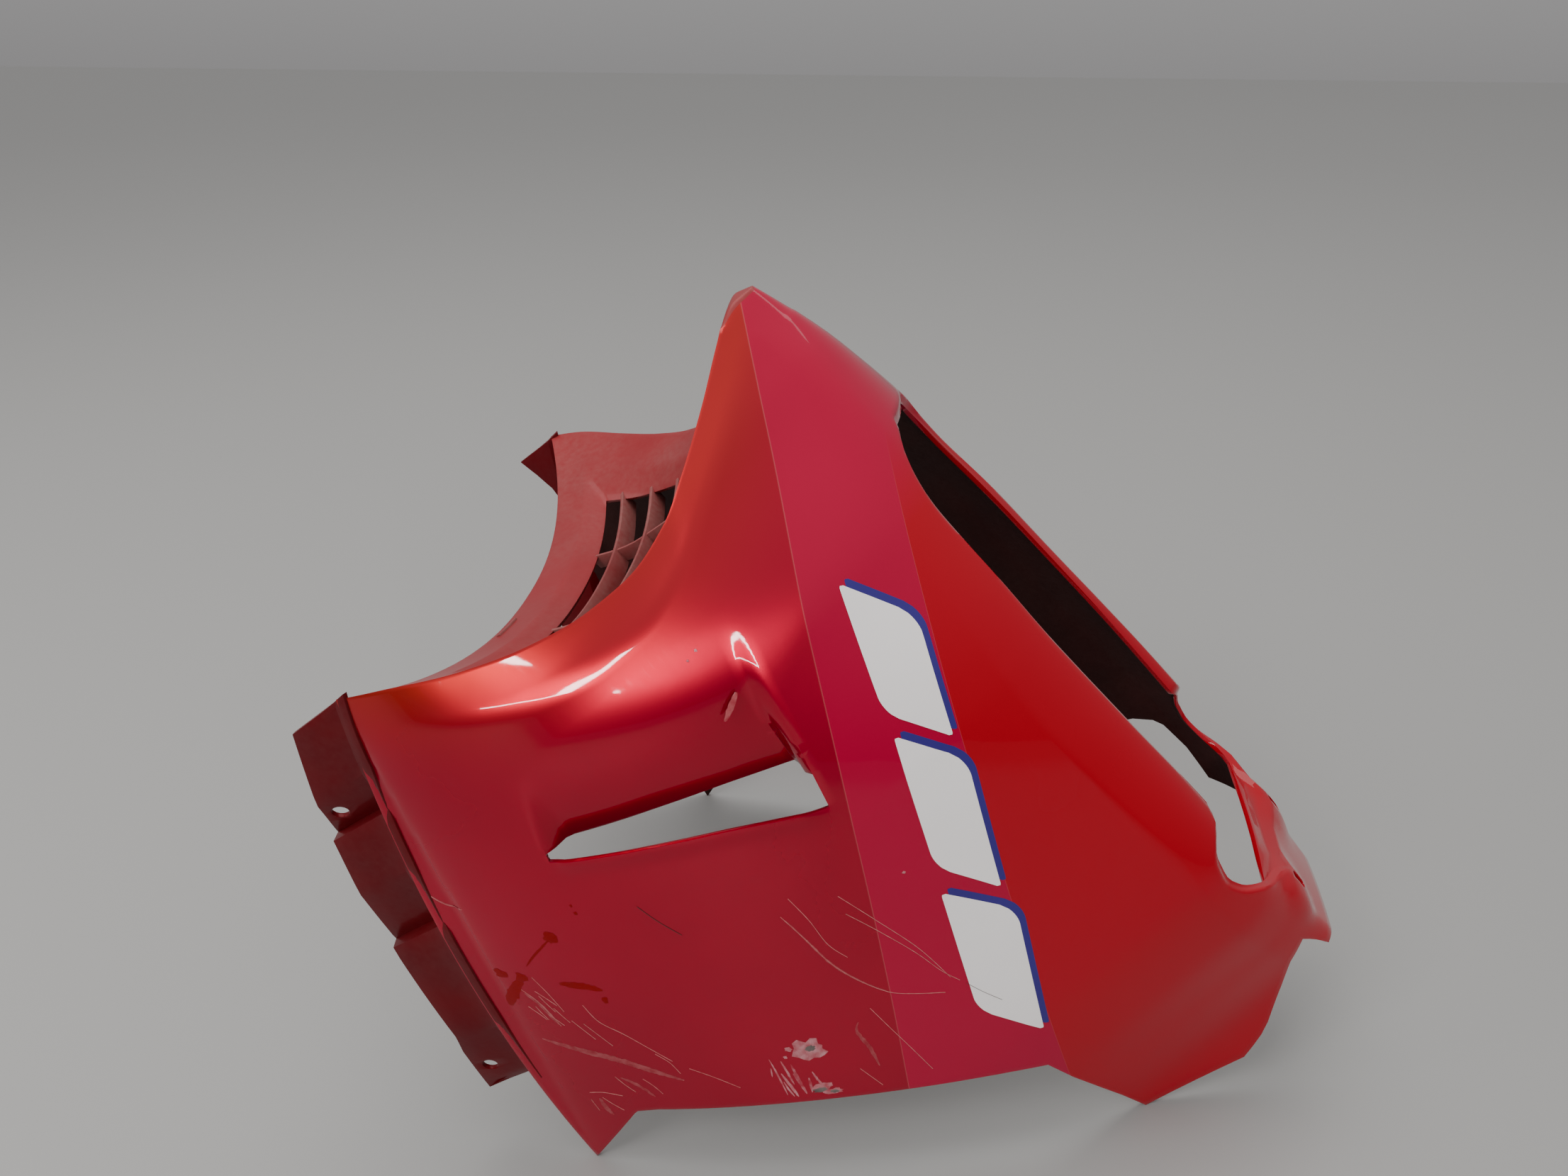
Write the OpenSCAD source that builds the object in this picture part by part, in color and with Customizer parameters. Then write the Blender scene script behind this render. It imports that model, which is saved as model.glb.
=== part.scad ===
// Lower fairing of a motorcycle: one moulded shell with two mirrored side walls, a keel with a
// long slot, and a hollow front arch with a louvred opening. Millimetres. The shell is drawn the
// way round it has on a machine, X forward, Z up and the nose at the origin, and is then stood
// on its four rear corners, keel up, with the floor at Z = 0.

/* [Body] */
// Keel length from the nose to the rear edge
body_l = 566; // [520:1:620]
// Half width over the top edges
half_w = 190; // [175:1:205]
// Height of the front top corner
front_h = 262; // [245:1:280]
// Height of the rear top corner
rear_h = 416; // [390:1:440]
// Distance of the rear top corner behind the nose
rear_top_l = 320; // [300:1:345]
// Thickness of the moulding
wall = 3; // [2.6:0.1:3.4]

/* [Front arch] */
// Reach of the top corners ahead of the nose
front_lead = 8; // [4:1:14]
// Depth of the wheel arch seen from the side
arch_depth = 66; // [55:1:75]
// Hollow of the arch at its free edge, from corner to middle
arch_hollow = 55; // [45:1:65]
// Depth of the bevel round the louvred opening
bevel_depth = 8; // [5:0.5:11]
// Height of the small lug on the free edge of the arch
lug_h = 8; // [6:1:10]
// Width of that lug
lug_w = 26; // [20:1:30]
// Distance of that lug from the middle
lug_y = 47; // [42:1:54]

/* [Louvres] */
// Distance of the top blade below the free edge of the arch
blade_drop = 44; // [40:1:48]
// Distance from blade to blade
blade_pitch = 25; // [22:1:26]
// Number of blades
blade_count = 4; // [3:1:4]
// Thickness of a blade and of a rib
blade_t = 3; // [2.4:0.1:4]
// Depth of a blade behind the arch
blade_depth = 20; // [15:1:22]
// Distance of each upright rib from the middle
rib_y = 52; // [44:1:60]

/* [Keel] */
// Widest half width of the keel slot
slot_half = 87; // [80:1:89]
// Width of the slotted holes in the rear strap
strap_hole_d = 6; // [5:0.5:7]
// Length of the slotted holes in the rear strap
strap_hole_l = 14; // [12:1:16]
// Turn-in round the keel slot
rim_turn = 5; // [3:0.5:7]
// Distance of each strap hole from the middle
strap_hole_y = 40; // [37:1:43]
// Height of the raised pad round each strap hole
pad_h = 6; // [4:0.5:8]

/* [Side vent] */
// Depth of the scoop at the low end of the slot
vent_low_depth = 24; // [18:1:28]
// Depth of the scoop at the high end of the slot
vent_high_depth = 14; // [10:1:18]

// Raised lip behind the vent slot
vent_lip = 2; // [1:0.5:3]

/* [Top flange] */
// Height of the flange above the top edge
flange_h = 42; // [38:1:45]
// Inward fold of each flange tab
tab_fold = 10; // [7:0.5:12]
// Diameter of the flange holes
flange_hole_d = 10; // [8:0.5:11]
// Diameter of the small hole low in the side wall
side_hole_d = 5; // [4:0.5:6]

/* [Hidden] */
$fn = 28;

// Front ridge: row, share of arch_depth behind the top corner, share of front_h
RIDGE = [[0, 0.09, 0.045], [0.04, 0.10, 0.062], [0.12, 0.24, 0.115], [0.2, 0.49, 0.2],
    [0.28, 0.76, 0.305], [0.34, 0.92, 0.38], [0.42, 1, 0.475], [0.5, 0.95, 0.57],
    [0.6, 0.79, 0.68], [0.72, 0.53, 0.795], [0.86, 0.21, 0.91], [1, 0, 1]];
// Rear edge: row, share of body_l behind the nose, share of rear_h
REAR = [[0, 0.963, 0.055], [0.04, 0.99, 0.1], [0.08, 1.03, 0.168], [0.11, 1.044, 0.221],
    [0.16, 1, 0.38], [0.2, 0.83, 0.4], [0.27, 0.776, 0.483], [0.72, 0.553, 0.842],
    [0.78, 0.54, 0.87], [1, 0, 1]];
// Rows of the side walls, from the top edge down to the chine
ROWS = [1, 0.94, 0.873, 0.823, 0.78, 0.73, 0.697, 0.67, 0.6, 0.52, 0.455, 0.41, 0.35, 0.295,
    0.262, 0.235, 0.2, 0.16, 0.11, 0.08, 0.04, 0];
vent_high = 0.697;
vent_low = 0.262;
grille_rows = [0.873, 0.823, 0.455, 0.41];
// Columns of each stretch between two key lines, as shares of that stretch
FRONT_COLS = [0, 0.08, 0.2, 0.4, 0.7];
SCOOP_COLS = [0, 0.054, 0.19, 0.36, 0.56, 0.78];
LIP_COLS = [0];
REAR_COLS = [0, 0.125, 0.243, 0.362, 0.48, 0.507, 0.533, 0.566, 0.605, 0.651, 0.704, 0.75,
    0.78, 0.833, 0.91, 1];
KEY_X = [0, 113, 243, 262, 566];
// Chine: distance behind the nose, half width
CHINE_Y = [[-10, 6], [0, 8], [20, 15], [50, 28], [110, 50], [160, 64], [230, 79], [330, 91],
    [430, 97], [480, 89], [520, 74], [566, 58], [610, 54]];
CHINE_Z = [[0, 7], [20, 4], [50, -1], [110, -5], [420, -5], [500, 0], [610, 2]];
KEEL_Z = [[0, -1], [20, -7], [62, -15], [120, -19], [300, -14], [480, -6], [566, -1]];
FILLET = [[0, 4], [50, 8], [200, 22], [300, 28], [560, 24]];
// Keel slot: distance behind the nose, share of slot_half
RIM = [[0, 0.03], [60, 0.14], [105, 0.19], [113, 0.25], [120, 0.36], [138, 0.49], [160, 0.57],
    [203, 0.63], [267, 0.7], [336, 0.72], [408, 0.69], [416, 0.78], [424, 0.91], [434, 0.985],
    [446, 1], [460, 0.95], [476, 0.81], [490, 0.6], [499, 0.41], [520, 0.39], [566, 0.34]];
slot_front = 113;
slot_rear = 499;
KEEL_COLS = [0.25, 0.55, 0.94, 1];
MIDDLE_COLS = [0.5, 0];
// Arch columns as shares of the ridge half width, and the hollow of the arch by height
ARCH_COLS = [0.9, 0.755, 0.645, 0.43, 0.2, 0];
grille_side = 0.645;
bevel_side = 0.755;
ARCH_MID = [[0, 0.02], [0.05, 0.07], [0.19, 0.62], [0.38, 1.16], [0.57, 1.51], [0.76, 1.45],
    [1, 1]];
// Rear edge of the keel, from the foot of the wall to the slot rim
STRAP_REAR = [[0, -545], [0.25, -540], [0.5, -566], [1, -566]];
strap_hole_x = 514;
// Cut-out at the rear of the left wall, seen from the side
LEFT_CUT = [[-441, 203], [-428, 160], [-424, 110], [-430, 65], [-435, 45], [-443, 33],
    [-450, 29], [-473, 26], [-500, 27], [-507, 19], [-519, 7], [-532, 3], [-700, 3], [-700, 300],
    [-480, 230]];
side_hole = [-342, 254];
// Flange holes: distance ahead of the nose, height above the top edge, station before the hole
flange_holes = [[-38.5, 35, 1], [-225.5, 31, 8]];
// Flange stations: distance ahead of the nose, share of flange_h, share of tab_fold, 1 at a step
FLANGE = [[10, 0.98, 0, 0], [-28, 1.07, 0, 0], [-51, 1.12, 1, 1], [-51.5, 1.05, 0, 1],
    [-84, 1.04, 0, 0], [-124, 1.05, 1, 1], [-124.5, 0.96, 0, 1], [-193, 0.83, 0, 0],
    [-206, 0.95, 0.3, 0], [-241, 1.1, 1, 0], [-244, 0.14, 1, 0]];
// The left flange: its front tab is broken off along a slanted line
FLANGE_LEFT = concat([[10, 0.85, 0, 0], [-6, 0.54, 0, 0], [-22, 0.26, 0, 0], [-36, 0.1, 0, 0],
    [-64, 0.1, 0, 0]], [for (k = [4:len(FLANGE) - 1]) FLANGE[k]]);
flange_lean = 6;
flange_step = 4;

function clamp(x, low, high) = min(max(x, low), high);
function along(a, b, t) = a + (b - a) * t;
function unit(v) = v / max(norm(v), 0.000001);
function column(table, k) = [for (row = table) [row[0], row[k]]];
RIDGE_X = column(RIDGE, 1);
RIDGE_Z = column(RIDGE, 2);
REAR_X = column(REAR, 1);
REAR_Z = column(REAR, 2);
rear_scale = body_l / KEY_X[4];
front_scale = front_h / 262;

// Ends of a row in the side view
function ridge(v) = [front_lead - arch_depth * lookup(v, RIDGE_X), front_h * lookup(v, RIDGE_Z)];
function rear_x(v) = v > 0.78
    ? along(-0.54 * body_l, -rear_top_l, (v - 0.78) / 0.22)
    : -body_l * lookup(v, REAR_X);
function rear(v) = [rear_x(v), rear_h * lookup(v, REAR_Z)];
// Key lines that cross the rows: start of the scoop, and the two edges of the vent slot
function scoop_x(v) = -rear_scale * lookup(v, [[0, 113], [vent_low, 108], [vent_high, 84], [1, 66]]);
function slot_a_x(v) = -rear_scale * lookup(v, [[0, 243], [vent_low, 211], [vent_high, 135], [1, 92]]);
function slot_b_x(v) = -rear_scale * lookup(v, [[0, 262], [vent_low, 229], [vent_high, 138], [1, 96]]);
function key_x(v, k) = k == 0 ? ridge(v)[0] : k == 1 ? scoop_x(v) : k == 2 ? slot_a_x(v)
    : k == 3 ? slot_b_x(v) : rear(v)[0];

// Columns from the rear edge to the ridge: stretch and share
COLS_FORWARD = concat([for (s = FRONT_COLS) [0, s]], [for (s = SCOOP_COLS) [1, s]],
    [for (s = LIP_COLS) [2, s]], [for (s = REAR_COLS) [3, s]]);
last = len(COLS_FORWARD) - 1;
COLS = [for (i = [0:last]) COLS_FORWARD[last - i]];
function col_x(v, c) = along(key_x(v, c[0]), key_x(v, c[0] + 1), c[1]);
function bow(v, f) = 80 * f * (1 - f) * max(0, (v - 0.72) / 0.28);
function row_z(v, x) = let (r = ridge(v), e = rear(v), f = (r[0] - x) / (r[0] - e[0]))
    along(r[1], e[1], f) + bow(v, f);

// Section of the shell across the bike
function chine_y(x) = half_w / 190 * lookup(-x / rear_scale, CHINE_Y);
function chine_z(x) = lookup(-x / rear_scale, CHINE_Z);
function keel_mid_z(x) = lookup(-x / rear_scale, KEEL_Z);
function fillet(x) = lookup(-x / rear_scale, FILLET);
function rim_y(x) = slot_half * lookup(-x / rear_scale, RIM);
function section_h(x) = front_h + (front_lead - x) * (rear_h - front_h) / (front_lead + rear_top_l + 2);
function fullness(x) = x > -150 ? along(1.25, 1, clamp((-x - 60) / 90, 0, 1))
    : 1 + 0.35 * clamp((-x - 250) / 320, 0, 1);
function cheek(d) = let (s = clamp(d / 45, 0, 1))
    8 * (1 - (1 - s) * (1 - s)) * (1 - clamp((d - 120) / 300, 0, 1));
function wall_y(x, z, d) = let (t = clamp(z / section_h(x), 0, 1), k = chine_y(x))
    k + (half_w - k) * pow(sin(90 * t), fullness(x)) + cheek(d) * sqrt(max(0, sin(180 * t)));
function keel_z(x, y) = let (q = y / chine_y(x)) along(keel_mid_z(x), chine_z(x), q * q);
function foot_z(x) = chine_z(x) + fillet(x);
function foot_y(x) = wall_y(x, foot_z(x), ridge(0)[0] - x);
function bottom_z(x, y) = let (a = chine_y(x) - fillet(x), b = foot_y(x))
    keel_z(x, y) + (foot_z(x) - keel_z(x, b)) * pow(max(0, (y - a) / (b - a)), 2);
function pad(x, y) = let (r = norm([(x + strap_hole_x * rear_scale) / 30, (y - strap_hole_y) / 24]))
    r < 1 ? pad_h * pow(1 - r * r, 1.2) : 0;

// Scoop of the side vent: depth below the wall
function vent_share(v) = (v - vent_low) / (vent_high - vent_low);
function in_vent(v) = v < vent_high - 0.001 && v > vent_low + 0.001;
function scoop(v, j) = let (c = COLS[j])
    !in_vent(v) || j < slot_col - 1 || j > scoop_col ? 0 : j == slot_col - 1 ? -vent_lip
    : along(vent_low_depth, vent_high_depth, vent_share(v)) * (j == slot_col ? 1 : c[1]);

// Grid of the right half: rows from the top edge to the middle of the keel, columns from the
// rear edge to the ridge and on to the middle of the arch
rows_wall = len(ROWS) - 1;
rows_all = rows_wall + len(KEEL_COLS) + len(MIDDLE_COLS);
cols_wall = len(COLS) - 1;
cols_all = cols_wall + len(ARCH_COLS);
rim_row = rows_wall + len(KEEL_COLS);
slot_col = len(REAR_COLS);
scoop_col = last - len(FRONT_COLS);
slot_front_col = scoop_col;
slot_rear_col = 3;

function wall_point(i, j) = let (v = ROWS[i], c = COLS[j], x = col_x(v, c), r = ridge(v))
    i == rows_wall ? [x, -foot_y(x), foot_z(x)]
    : [x, -wall_y(x, row_z(v, x), r[0] - x), row_z(v, x)];
function keel_y(i, x) = let (k = i - rows_wall, n = len(KEEL_COLS))
    k <= n ? along(foot_y(x), rim_y(x), KEEL_COLS[k - 1]) : rim_y(x) * MIDDLE_COLS[k - n - 1];
function keel_end_x(i, j) = let (c = COLS[j], k = clamp((i - rows_wall) / len(KEEL_COLS), 0, 1))
    c[0] == 3 && c[1] > 0.78
        ? along(col_x(0, [3, 0.78]), rear_scale * lookup(k, STRAP_REAR), (c[1] - 0.78) / 0.22)
        : col_x(0, c);
function keel_point(i, j) = let (x = keel_end_x(i, j), y = keel_y(i, x),
    xs = j == cols_wall ? x * y / foot_y(x) : x)
    [xs, -y, bottom_z(x, y) - pad(x, y) + turn_in(i, j)];
function turn_in(i, j) = i >= rim_row && j >= slot_rear_col && j <= slot_front_col ? rim_turn : 0;
function arch_mid_x(z) = front_lead - arch_hollow * lookup(z / front_h, ARCH_MID);
function arch_x(r, y, z) = along(arch_mid_x(z), r[0], pow(abs(y) / max(-r[1], 0.001), 2.2));
function bevel(i, k) = i > rows_wall ? 0 : let (v = ROWS[i])
    v < grille_rows[1] + 0.001 && v > grille_rows[2] - 0.001 && ARCH_COLS[k] < grille_side + 0.001
    ? bevel_depth : 0;
function arch_point(i, j) = let (k = j - cols_wall - 1, r = side_point(i, cols_wall), q = ARCH_COLS[k])
    i <= rows_wall ? [arch_x(r, r[1] * q, r[2]), r[1] * q, r[2]]
    : let (s = (i - rows_wall) / (rows_all - rows_wall), z = along(foot_z(0), keel_mid_z(0), s))
        along([along(arch_mid_x(foot_z(0)), 0, s), 0, z], r, q);
function side_point(i, j) = i <= rows_wall ? wall_point(i, j) : keel_point(i, j);
function base_point(i, j) = j <= cols_wall ? side_point(i, j) : arch_point(i, j);

BASE = [for (i = [0:rows_all]) [for (j = [0:cols_all]) base_point(i, j)]];
function mirrored(p) = [p[0], -p[1], p[2]];
function base(i, j) = i > rows_all ? mirrored(BASE[2 * rows_all - i][j])
    : j > cols_all ? mirrored(BASE[i][2 * cols_all - j])
    : BASE[max(i, 0)][max(j, 0)];
function normal(i, j) = unit(cross(base(i + 1, j) - base(i - 1, j), base(i, j + 1) - base(i, j - 1)));
function on_middle(i, j) = i == rows_all || j == cols_all;
function at_nose(i, j) = i == rows_all && j >= cols_wall;
function sunk(i, j) = j > cols_wall ? bevel(i, j - cols_wall - 1)
    : i > rows_wall ? 0 : scoop(ROWS[i], j);
function outer_point(i, j) = let (p = BASE[i][j], s = sunk(i, j))
    s == 0 ? p : j > cols_wall ? p - [s, 0, 0] : p + [0, s, 0];
function inner_point(i, j) = let (n = normal(i, j), q = outer_point(i, j) - wall * n)
    at_nose(i, j) ? BASE[i][j] + wall * [-1.4, 0, 1.2]
    : on_middle(i, j) ? [q[0], 0, q[2]] : [q[0], min(q[1], -0.3), q[2]];

// Cells that are open: the vent slot, the keel slot and the grille of the arch
function is_vent(i, j) = j == slot_col - 1 && i < rows_wall && ROWS[i] < vent_high + 0.001
    && ROWS[i + 1] > vent_low - 0.001;
function is_keel_slot(i, j) = i >= rim_row && j >= slot_rear_col && j < slot_front_col;
function is_grille(i, j) = i < rows_wall && j > cols_wall + 2
    && ROWS[i] < grille_rows[1] + 0.001 && ROWS[i + 1] > grille_rows[2] - 0.001;
function open_cell(i, j) = i < 0 || j < 0 || is_vent(i, j) || is_keel_slot(i, j) || is_grille(i, j);

// Points of both halves and both faces in one list, with one index for each
n_half = (rows_all + 1) * (cols_all + 1);
function slot_of(i, j) = i * (cols_all + 1) + (at_nose(i, j) ? cols_wall : j);
function index(i, j, left, inside) =
    slot_of(i, j) + (left && !on_middle(i, j) ? n_half : 0) + (inside ? 2 * n_half : 0);
right_outer = [for (i = [0:rows_all]) for (j = [0:cols_all]) outer_point(i, j)];
right_inner = [for (i = [0:rows_all]) for (j = [0:cols_all]) inner_point(i, j)];
all_points = concat(right_outer, [for (p = right_outer) mirrored(p)], right_inner,
    [for (p = right_inner) mirrored(p)]);

// A cell as two triangles, without those that have shrunk to a line
function keep(t) = t[0] == t[1] || t[1] == t[2] || t[0] == t[2] ? [] : [t];
function fan(q) = concat(keep([q[0], q[1], q[2]]), keep([q[0], q[2], q[3]]));
function flip(q) = [q[3], q[2], q[1], q[0]];
function corners(i, j) = [[i, j], [i, j + 1], [i + 1, j + 1], [i + 1, j]];
function loop(i, j, left, inside) = let (q = [for (p = corners(i, j)) index(p[0], p[1], left, inside)])
    left == inside ? q : flip(q);
// The neighbour over each side of a cell: above, ahead, below, behind
function neighbour(i, j, k) = k == 0 ? [i - 1, j] : k == 1 ? [i, j + 1] : k == 2 ? [i + 1, j] : [i, j - 1];
function beyond_middle(n) = n[0] >= rows_all || n[1] >= cols_all;
function edge_quad(i, j, k, left) = let (c = corners(i, j), a = c[k], b = c[(k + 1) % 4],
    q = [index(b[0], b[1], left, false), index(a[0], a[1], left, false),
        index(a[0], a[1], left, true), index(b[0], b[1], left, true)])
    left ? flip(q) : q;
cells = [for (i = [0:rows_all - 1]) for (j = [0:cols_all - 1]) if (!open_cell(i, j)) [i, j]];
function cell_edges(c) = [for (k = [0:3]) let (n = neighbour(c[0], c[1], k))
    if (!beyond_middle(n) && open_cell(n[0], n[1])) k];
shell_faces = [for (c = cells) for (left = [false, true]) each concat(
    fan(loop(c[0], c[1], left, false)), fan(loop(c[0], c[1], left, true)),
    [for (k = cell_edges(c)) each fan(edge_quad(c[0], c[1], k, left))])];

// Flange over the top edge: a folded strip on each side, drawn for the right half
function top_z(x) = row_z(1, x);
function ridge_row(z) = lookup(z / front_h, [for (r = RIDGE) [r[2], r[0]]]);
function edge_y(x) = wall_y(x, top_z(x) - 8, front_lead - x) - wall / 2;
function lean(x) = flange_lean * clamp(-x / 50, 0, 1);
function tab_y(s) = half_w - flange_step - s[2] * tab_fold;
function flange_section(s) = let (x = s[0], low_x = min(x, front_lead - 1) - lean(x), z = top_z(low_x),
    y = tab_y(s), low = edge_y(low_x), back = wall * 1.1 * s[3], deep = wall * (1 + 0.5 * s[2] * s[3]))
    [[low_x, -low, z - 8], [low_x, -y, z + 2], [x, -y, top_z(x) + s[1] * flange_h],
    [x - back, deep - y, top_z(x) + s[1] * flange_h], [low_x - back, deep - y, z + 2],
    [low_x - back, wall - low, z - 8]];
function strip_points(stations) = [for (s = stations) each flange_section(s)];
flange_points = strip_points(FLANGE);
ring = 6;
function ring_face(s, k) = let (a = s * ring + k, b = s * ring + (k + 1) % ring)
    fan([a + ring, b + ring, b, a]);
function cap(s) = [[for (k = [1, 2, 3, 4]) s * ring + k], [for (k = [0, 1, 4, 5]) s * ring + k]];
function strip_faces(n) = concat([for (s = [0:n - 2]) for (k = [0:ring - 1]) each ring_face(s, k)],
    [for (q = cap(0)) each fan(q)], [for (q = cap(n - 1)) each fan(flip(q))]);

// Where the stood shell meets the floor and how far it reaches
stand_a = 180 + atan((rear(1)[1] - rear(0.16)[1]) / (rear(1)[0] - rear(0.16)[0]));
function stood(p) = [p[0] * cos(stand_a) + p[2] * sin(stand_a), p[2] * cos(stand_a) - p[0] * sin(stand_a)];
reach = [for (p = concat(right_outer, right_inner, flange_points)) stood(p)];
reach_x = [for (p = reach) p[0]];
middle_x = (max(reach_x) + min(reach_x)) / 2;
floor_z = min([for (p = reach) p[1]]);

module shell() {
    polyhedron(points = all_points, faces = shell_faces, convexity = 12);
}

module flange(stations) {
    polyhedron(points = strip_points(stations), faces = strip_faces(len(stations)), convexity = 6);
}

// Small lug on the free edge of the arch, right of the middle
module lug() {
    ends = [-lug_y - lug_w / 2, -lug_y + lug_w / 2];
    front = [for (y = ends) [arch_at(front_h, y) - 1, y]];
    back = [for (k = [1, 0]) [arch_at(front_h, ends[k]) - 1 - wall, ends[k]]];
    translate([0, 0, front_h - 6])
        linear_extrude(lug_h + 6) polygon(concat(front, back));
}

// Louvre blade and rib behind the opening of the arch
function arch_at(z, y) = let (v = ridge_row(z), x = ridge(v)[0], r = [x, -wall_y(x, z, 0)]) arch_x(r, y, z);
function arch_half(z) = let (x = ridge(ridge_row(z))[0]) wall_y(x, z, 0);
blade_steps = [-5:5];
module blade(z) {
    reach_y = arch_half(z) * (grille_side + 0.04);
    front = [for (k = blade_steps) [arch_at(z, k / 5 * reach_y) - bevel_depth * 0.75, k / 5 * reach_y]];
    back = [for (k = blade_steps) [arch_at(z, k / 5 * reach_y) - blade_depth, -k / 5 * reach_y]];
    translate([0, 0, z - blade_t / 2])
        linear_extrude(blade_t) polygon(concat(front, back));
}

rib_low = ridge(grille_rows[2])[1] - 5;
rib_high = ridge(grille_rows[1])[1] + 5;
module rib(y) {
    heights = [for (k = [0:8]) along(rib_low, rib_high, k / 8)];
    front = [for (z = heights) [arch_at(z, y) - bevel_depth * 0.9, z]];
    back = [for (k = [8:-1:0]) [arch_at(heights[k], y) - blade_depth + 2, heights[k]]];
    translate([0, y + blade_t / 2, 0])
        rotate([90, 0, 0]) linear_extrude(blade_t) polygon(concat(front, back));
}

module louvres() {
    for (k = [0:blade_count - 1]) blade(front_h - (blade_drop + k * blade_pitch) * front_scale);
    for (y = [-rib_y, rib_y]) rib(y);
}

// Centre of a flange hole in its folded tab, and the angle of that tab
function fold_angle(h) = let (a = FLANGE[h[2]], b = FLANGE[h[2] + 1]) atan((tab_y(a) - tab_y(b)) / (a[0] - b[0]));
function hole_centre(h) = let (a = FLANGE[h[2]], b = FLANGE[h[2] + 1],
    rise = h[1] / (flange_h * along(a[1], b[1], (a[0] - h[0]) / (a[0] - b[0]))),
    x = h[0] + lean(h[0]) * (1 - rise))
    [h[0], -along(tab_y(a), tab_y(b), (a[0] - x) / (a[0] - b[0])) + wall / 2, top_z(h[0]) + h[1]];

module side_bores(holes) {
    for (h = holes)
        translate(hole_centre(h))
            rotate([90, 0, -fold_angle(h)]) cylinder(d = flange_hole_d, h = 16, center = true);
    translate([side_hole[0], -half_w + 20, side_hole[1]])
        rotate([90, 0, 0]) cylinder(d = side_hole_d, h = 60, center = true);
}

module left_cut() {
    translate([0, half_w + 60, 0]) rotate([90, 0, 0])
        linear_extrude(half_w + 13) polygon([for (p = LEFT_CUT) [p[0] * rear_scale, p[1]]]);
}

module strap_slot() {
    gap = strap_hole_l - strap_hole_d;
    translate([-strap_hole_x * rear_scale, -strap_hole_y, -10]) {
        for (x = [-gap / 2, gap / 2]) translate([x, 0, 0]) cylinder(d = strap_hole_d, h = 40, center = true);
        cube([gap, strap_hole_d, 40], center = true);
    }
}

module belly_fairing() {
    color([0.68, 0.06, 0.09])
        translate([-middle_x, 0, -floor_z]) rotate([0, stand_a, 0])
            difference() {
                union() {
                    shell();
                    louvres();
                    lug();
                    flange(FLANGE);
                    mirror([0, 1, 0]) flange(FLANGE_LEFT);
                }
                side_bores(flange_holes);
                mirror([0, 1, 0]) side_bores([flange_holes[1]]);
                strap_slot();
                mirror([0, 1, 0]) strap_slot();
                left_cut();
            }
}

belly_fairing();
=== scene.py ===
"""Looks of a worn one-piece motorcycle lower fairing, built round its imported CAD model."""

import logging
import math
import random
from dataclasses import dataclass, field
from enum import Enum
from typing import Dict, List, Optional, Sequence, Tuple, Union

import bmesh
import bpy
from mathutils import Matrix, Vector


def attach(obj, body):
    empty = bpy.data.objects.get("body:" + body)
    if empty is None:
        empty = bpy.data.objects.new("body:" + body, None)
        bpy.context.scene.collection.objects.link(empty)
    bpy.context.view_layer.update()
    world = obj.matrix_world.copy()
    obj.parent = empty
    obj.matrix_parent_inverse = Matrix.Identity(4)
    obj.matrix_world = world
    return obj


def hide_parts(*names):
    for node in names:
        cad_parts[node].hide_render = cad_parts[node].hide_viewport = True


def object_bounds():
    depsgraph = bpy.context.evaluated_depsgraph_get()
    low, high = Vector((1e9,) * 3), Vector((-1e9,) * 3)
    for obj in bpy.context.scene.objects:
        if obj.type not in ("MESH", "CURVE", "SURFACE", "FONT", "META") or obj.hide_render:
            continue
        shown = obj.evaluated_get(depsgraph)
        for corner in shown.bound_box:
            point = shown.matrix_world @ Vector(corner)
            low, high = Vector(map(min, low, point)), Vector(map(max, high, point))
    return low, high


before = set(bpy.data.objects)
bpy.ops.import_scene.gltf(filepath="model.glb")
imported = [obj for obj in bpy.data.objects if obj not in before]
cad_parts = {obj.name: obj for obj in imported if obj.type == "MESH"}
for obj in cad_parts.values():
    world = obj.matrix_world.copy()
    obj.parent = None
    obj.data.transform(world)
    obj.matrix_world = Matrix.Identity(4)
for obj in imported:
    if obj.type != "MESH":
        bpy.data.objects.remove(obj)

logging.basicConfig(level=logging.INFO, format="%(message)s")
log = logging.getLogger("fairing")

BODY = "root"
NODE = "belly_fairing"
START_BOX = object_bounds()

MM = 0.001
Point = Tuple[float, float, float]
Place = Tuple[float, float]
Knots = Sequence[Place]
Faces = List[Tuple[int, ...]]
Part = Tuple[List[Point], Faces]
Colour = Tuple[float, float, float]
Socket = bpy.types.NodeSocket
Value = Union[Socket, float]


class Side(Enum):
    """Which wall a piece lies on, with the sign of Y there."""

    RIGHT = -1
    LEFT = 1


class Coat(Enum):
    """Surface kinds of the object."""

    PAINT = "candy_paint"
    ARCH = "dusty_arch"
    INSIDE = "bare_inside"
    FLANGE = "flange_paint"
    LOUVRE = "louvre_plastic"
    DECAL_LIGHT = "decal_white"
    DECAL_EDGE = "decal_blue"
    SCRATCH = "scratch_pale"
    CHIP = "chipped_primer"
    TOUCH_UP = "touch_up_red"
    SCUFF = "scuffed_paint"
    CORE = "bare_plastic"
    GRIME = "grime_dark"


def clamp(x: float, low: float, high: float) -> float:
    """Limits a number.

    Args:
        x: The number.
        low: Its least value.
        high: Its greatest value.

    Returns:
        x, no less than low and no more than high.
    """
    return min(max(x, low), high)


def along(a: float, b: float, t: float) -> float:
    """Value a share t of the way from a to b."""
    return a + (b - a) * t


def ease(t: float) -> float:
    """Smooth step from 0 to 1."""
    t = clamp(t, 0.0, 1.0)
    return t * t * (3 - 2 * t)


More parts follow.
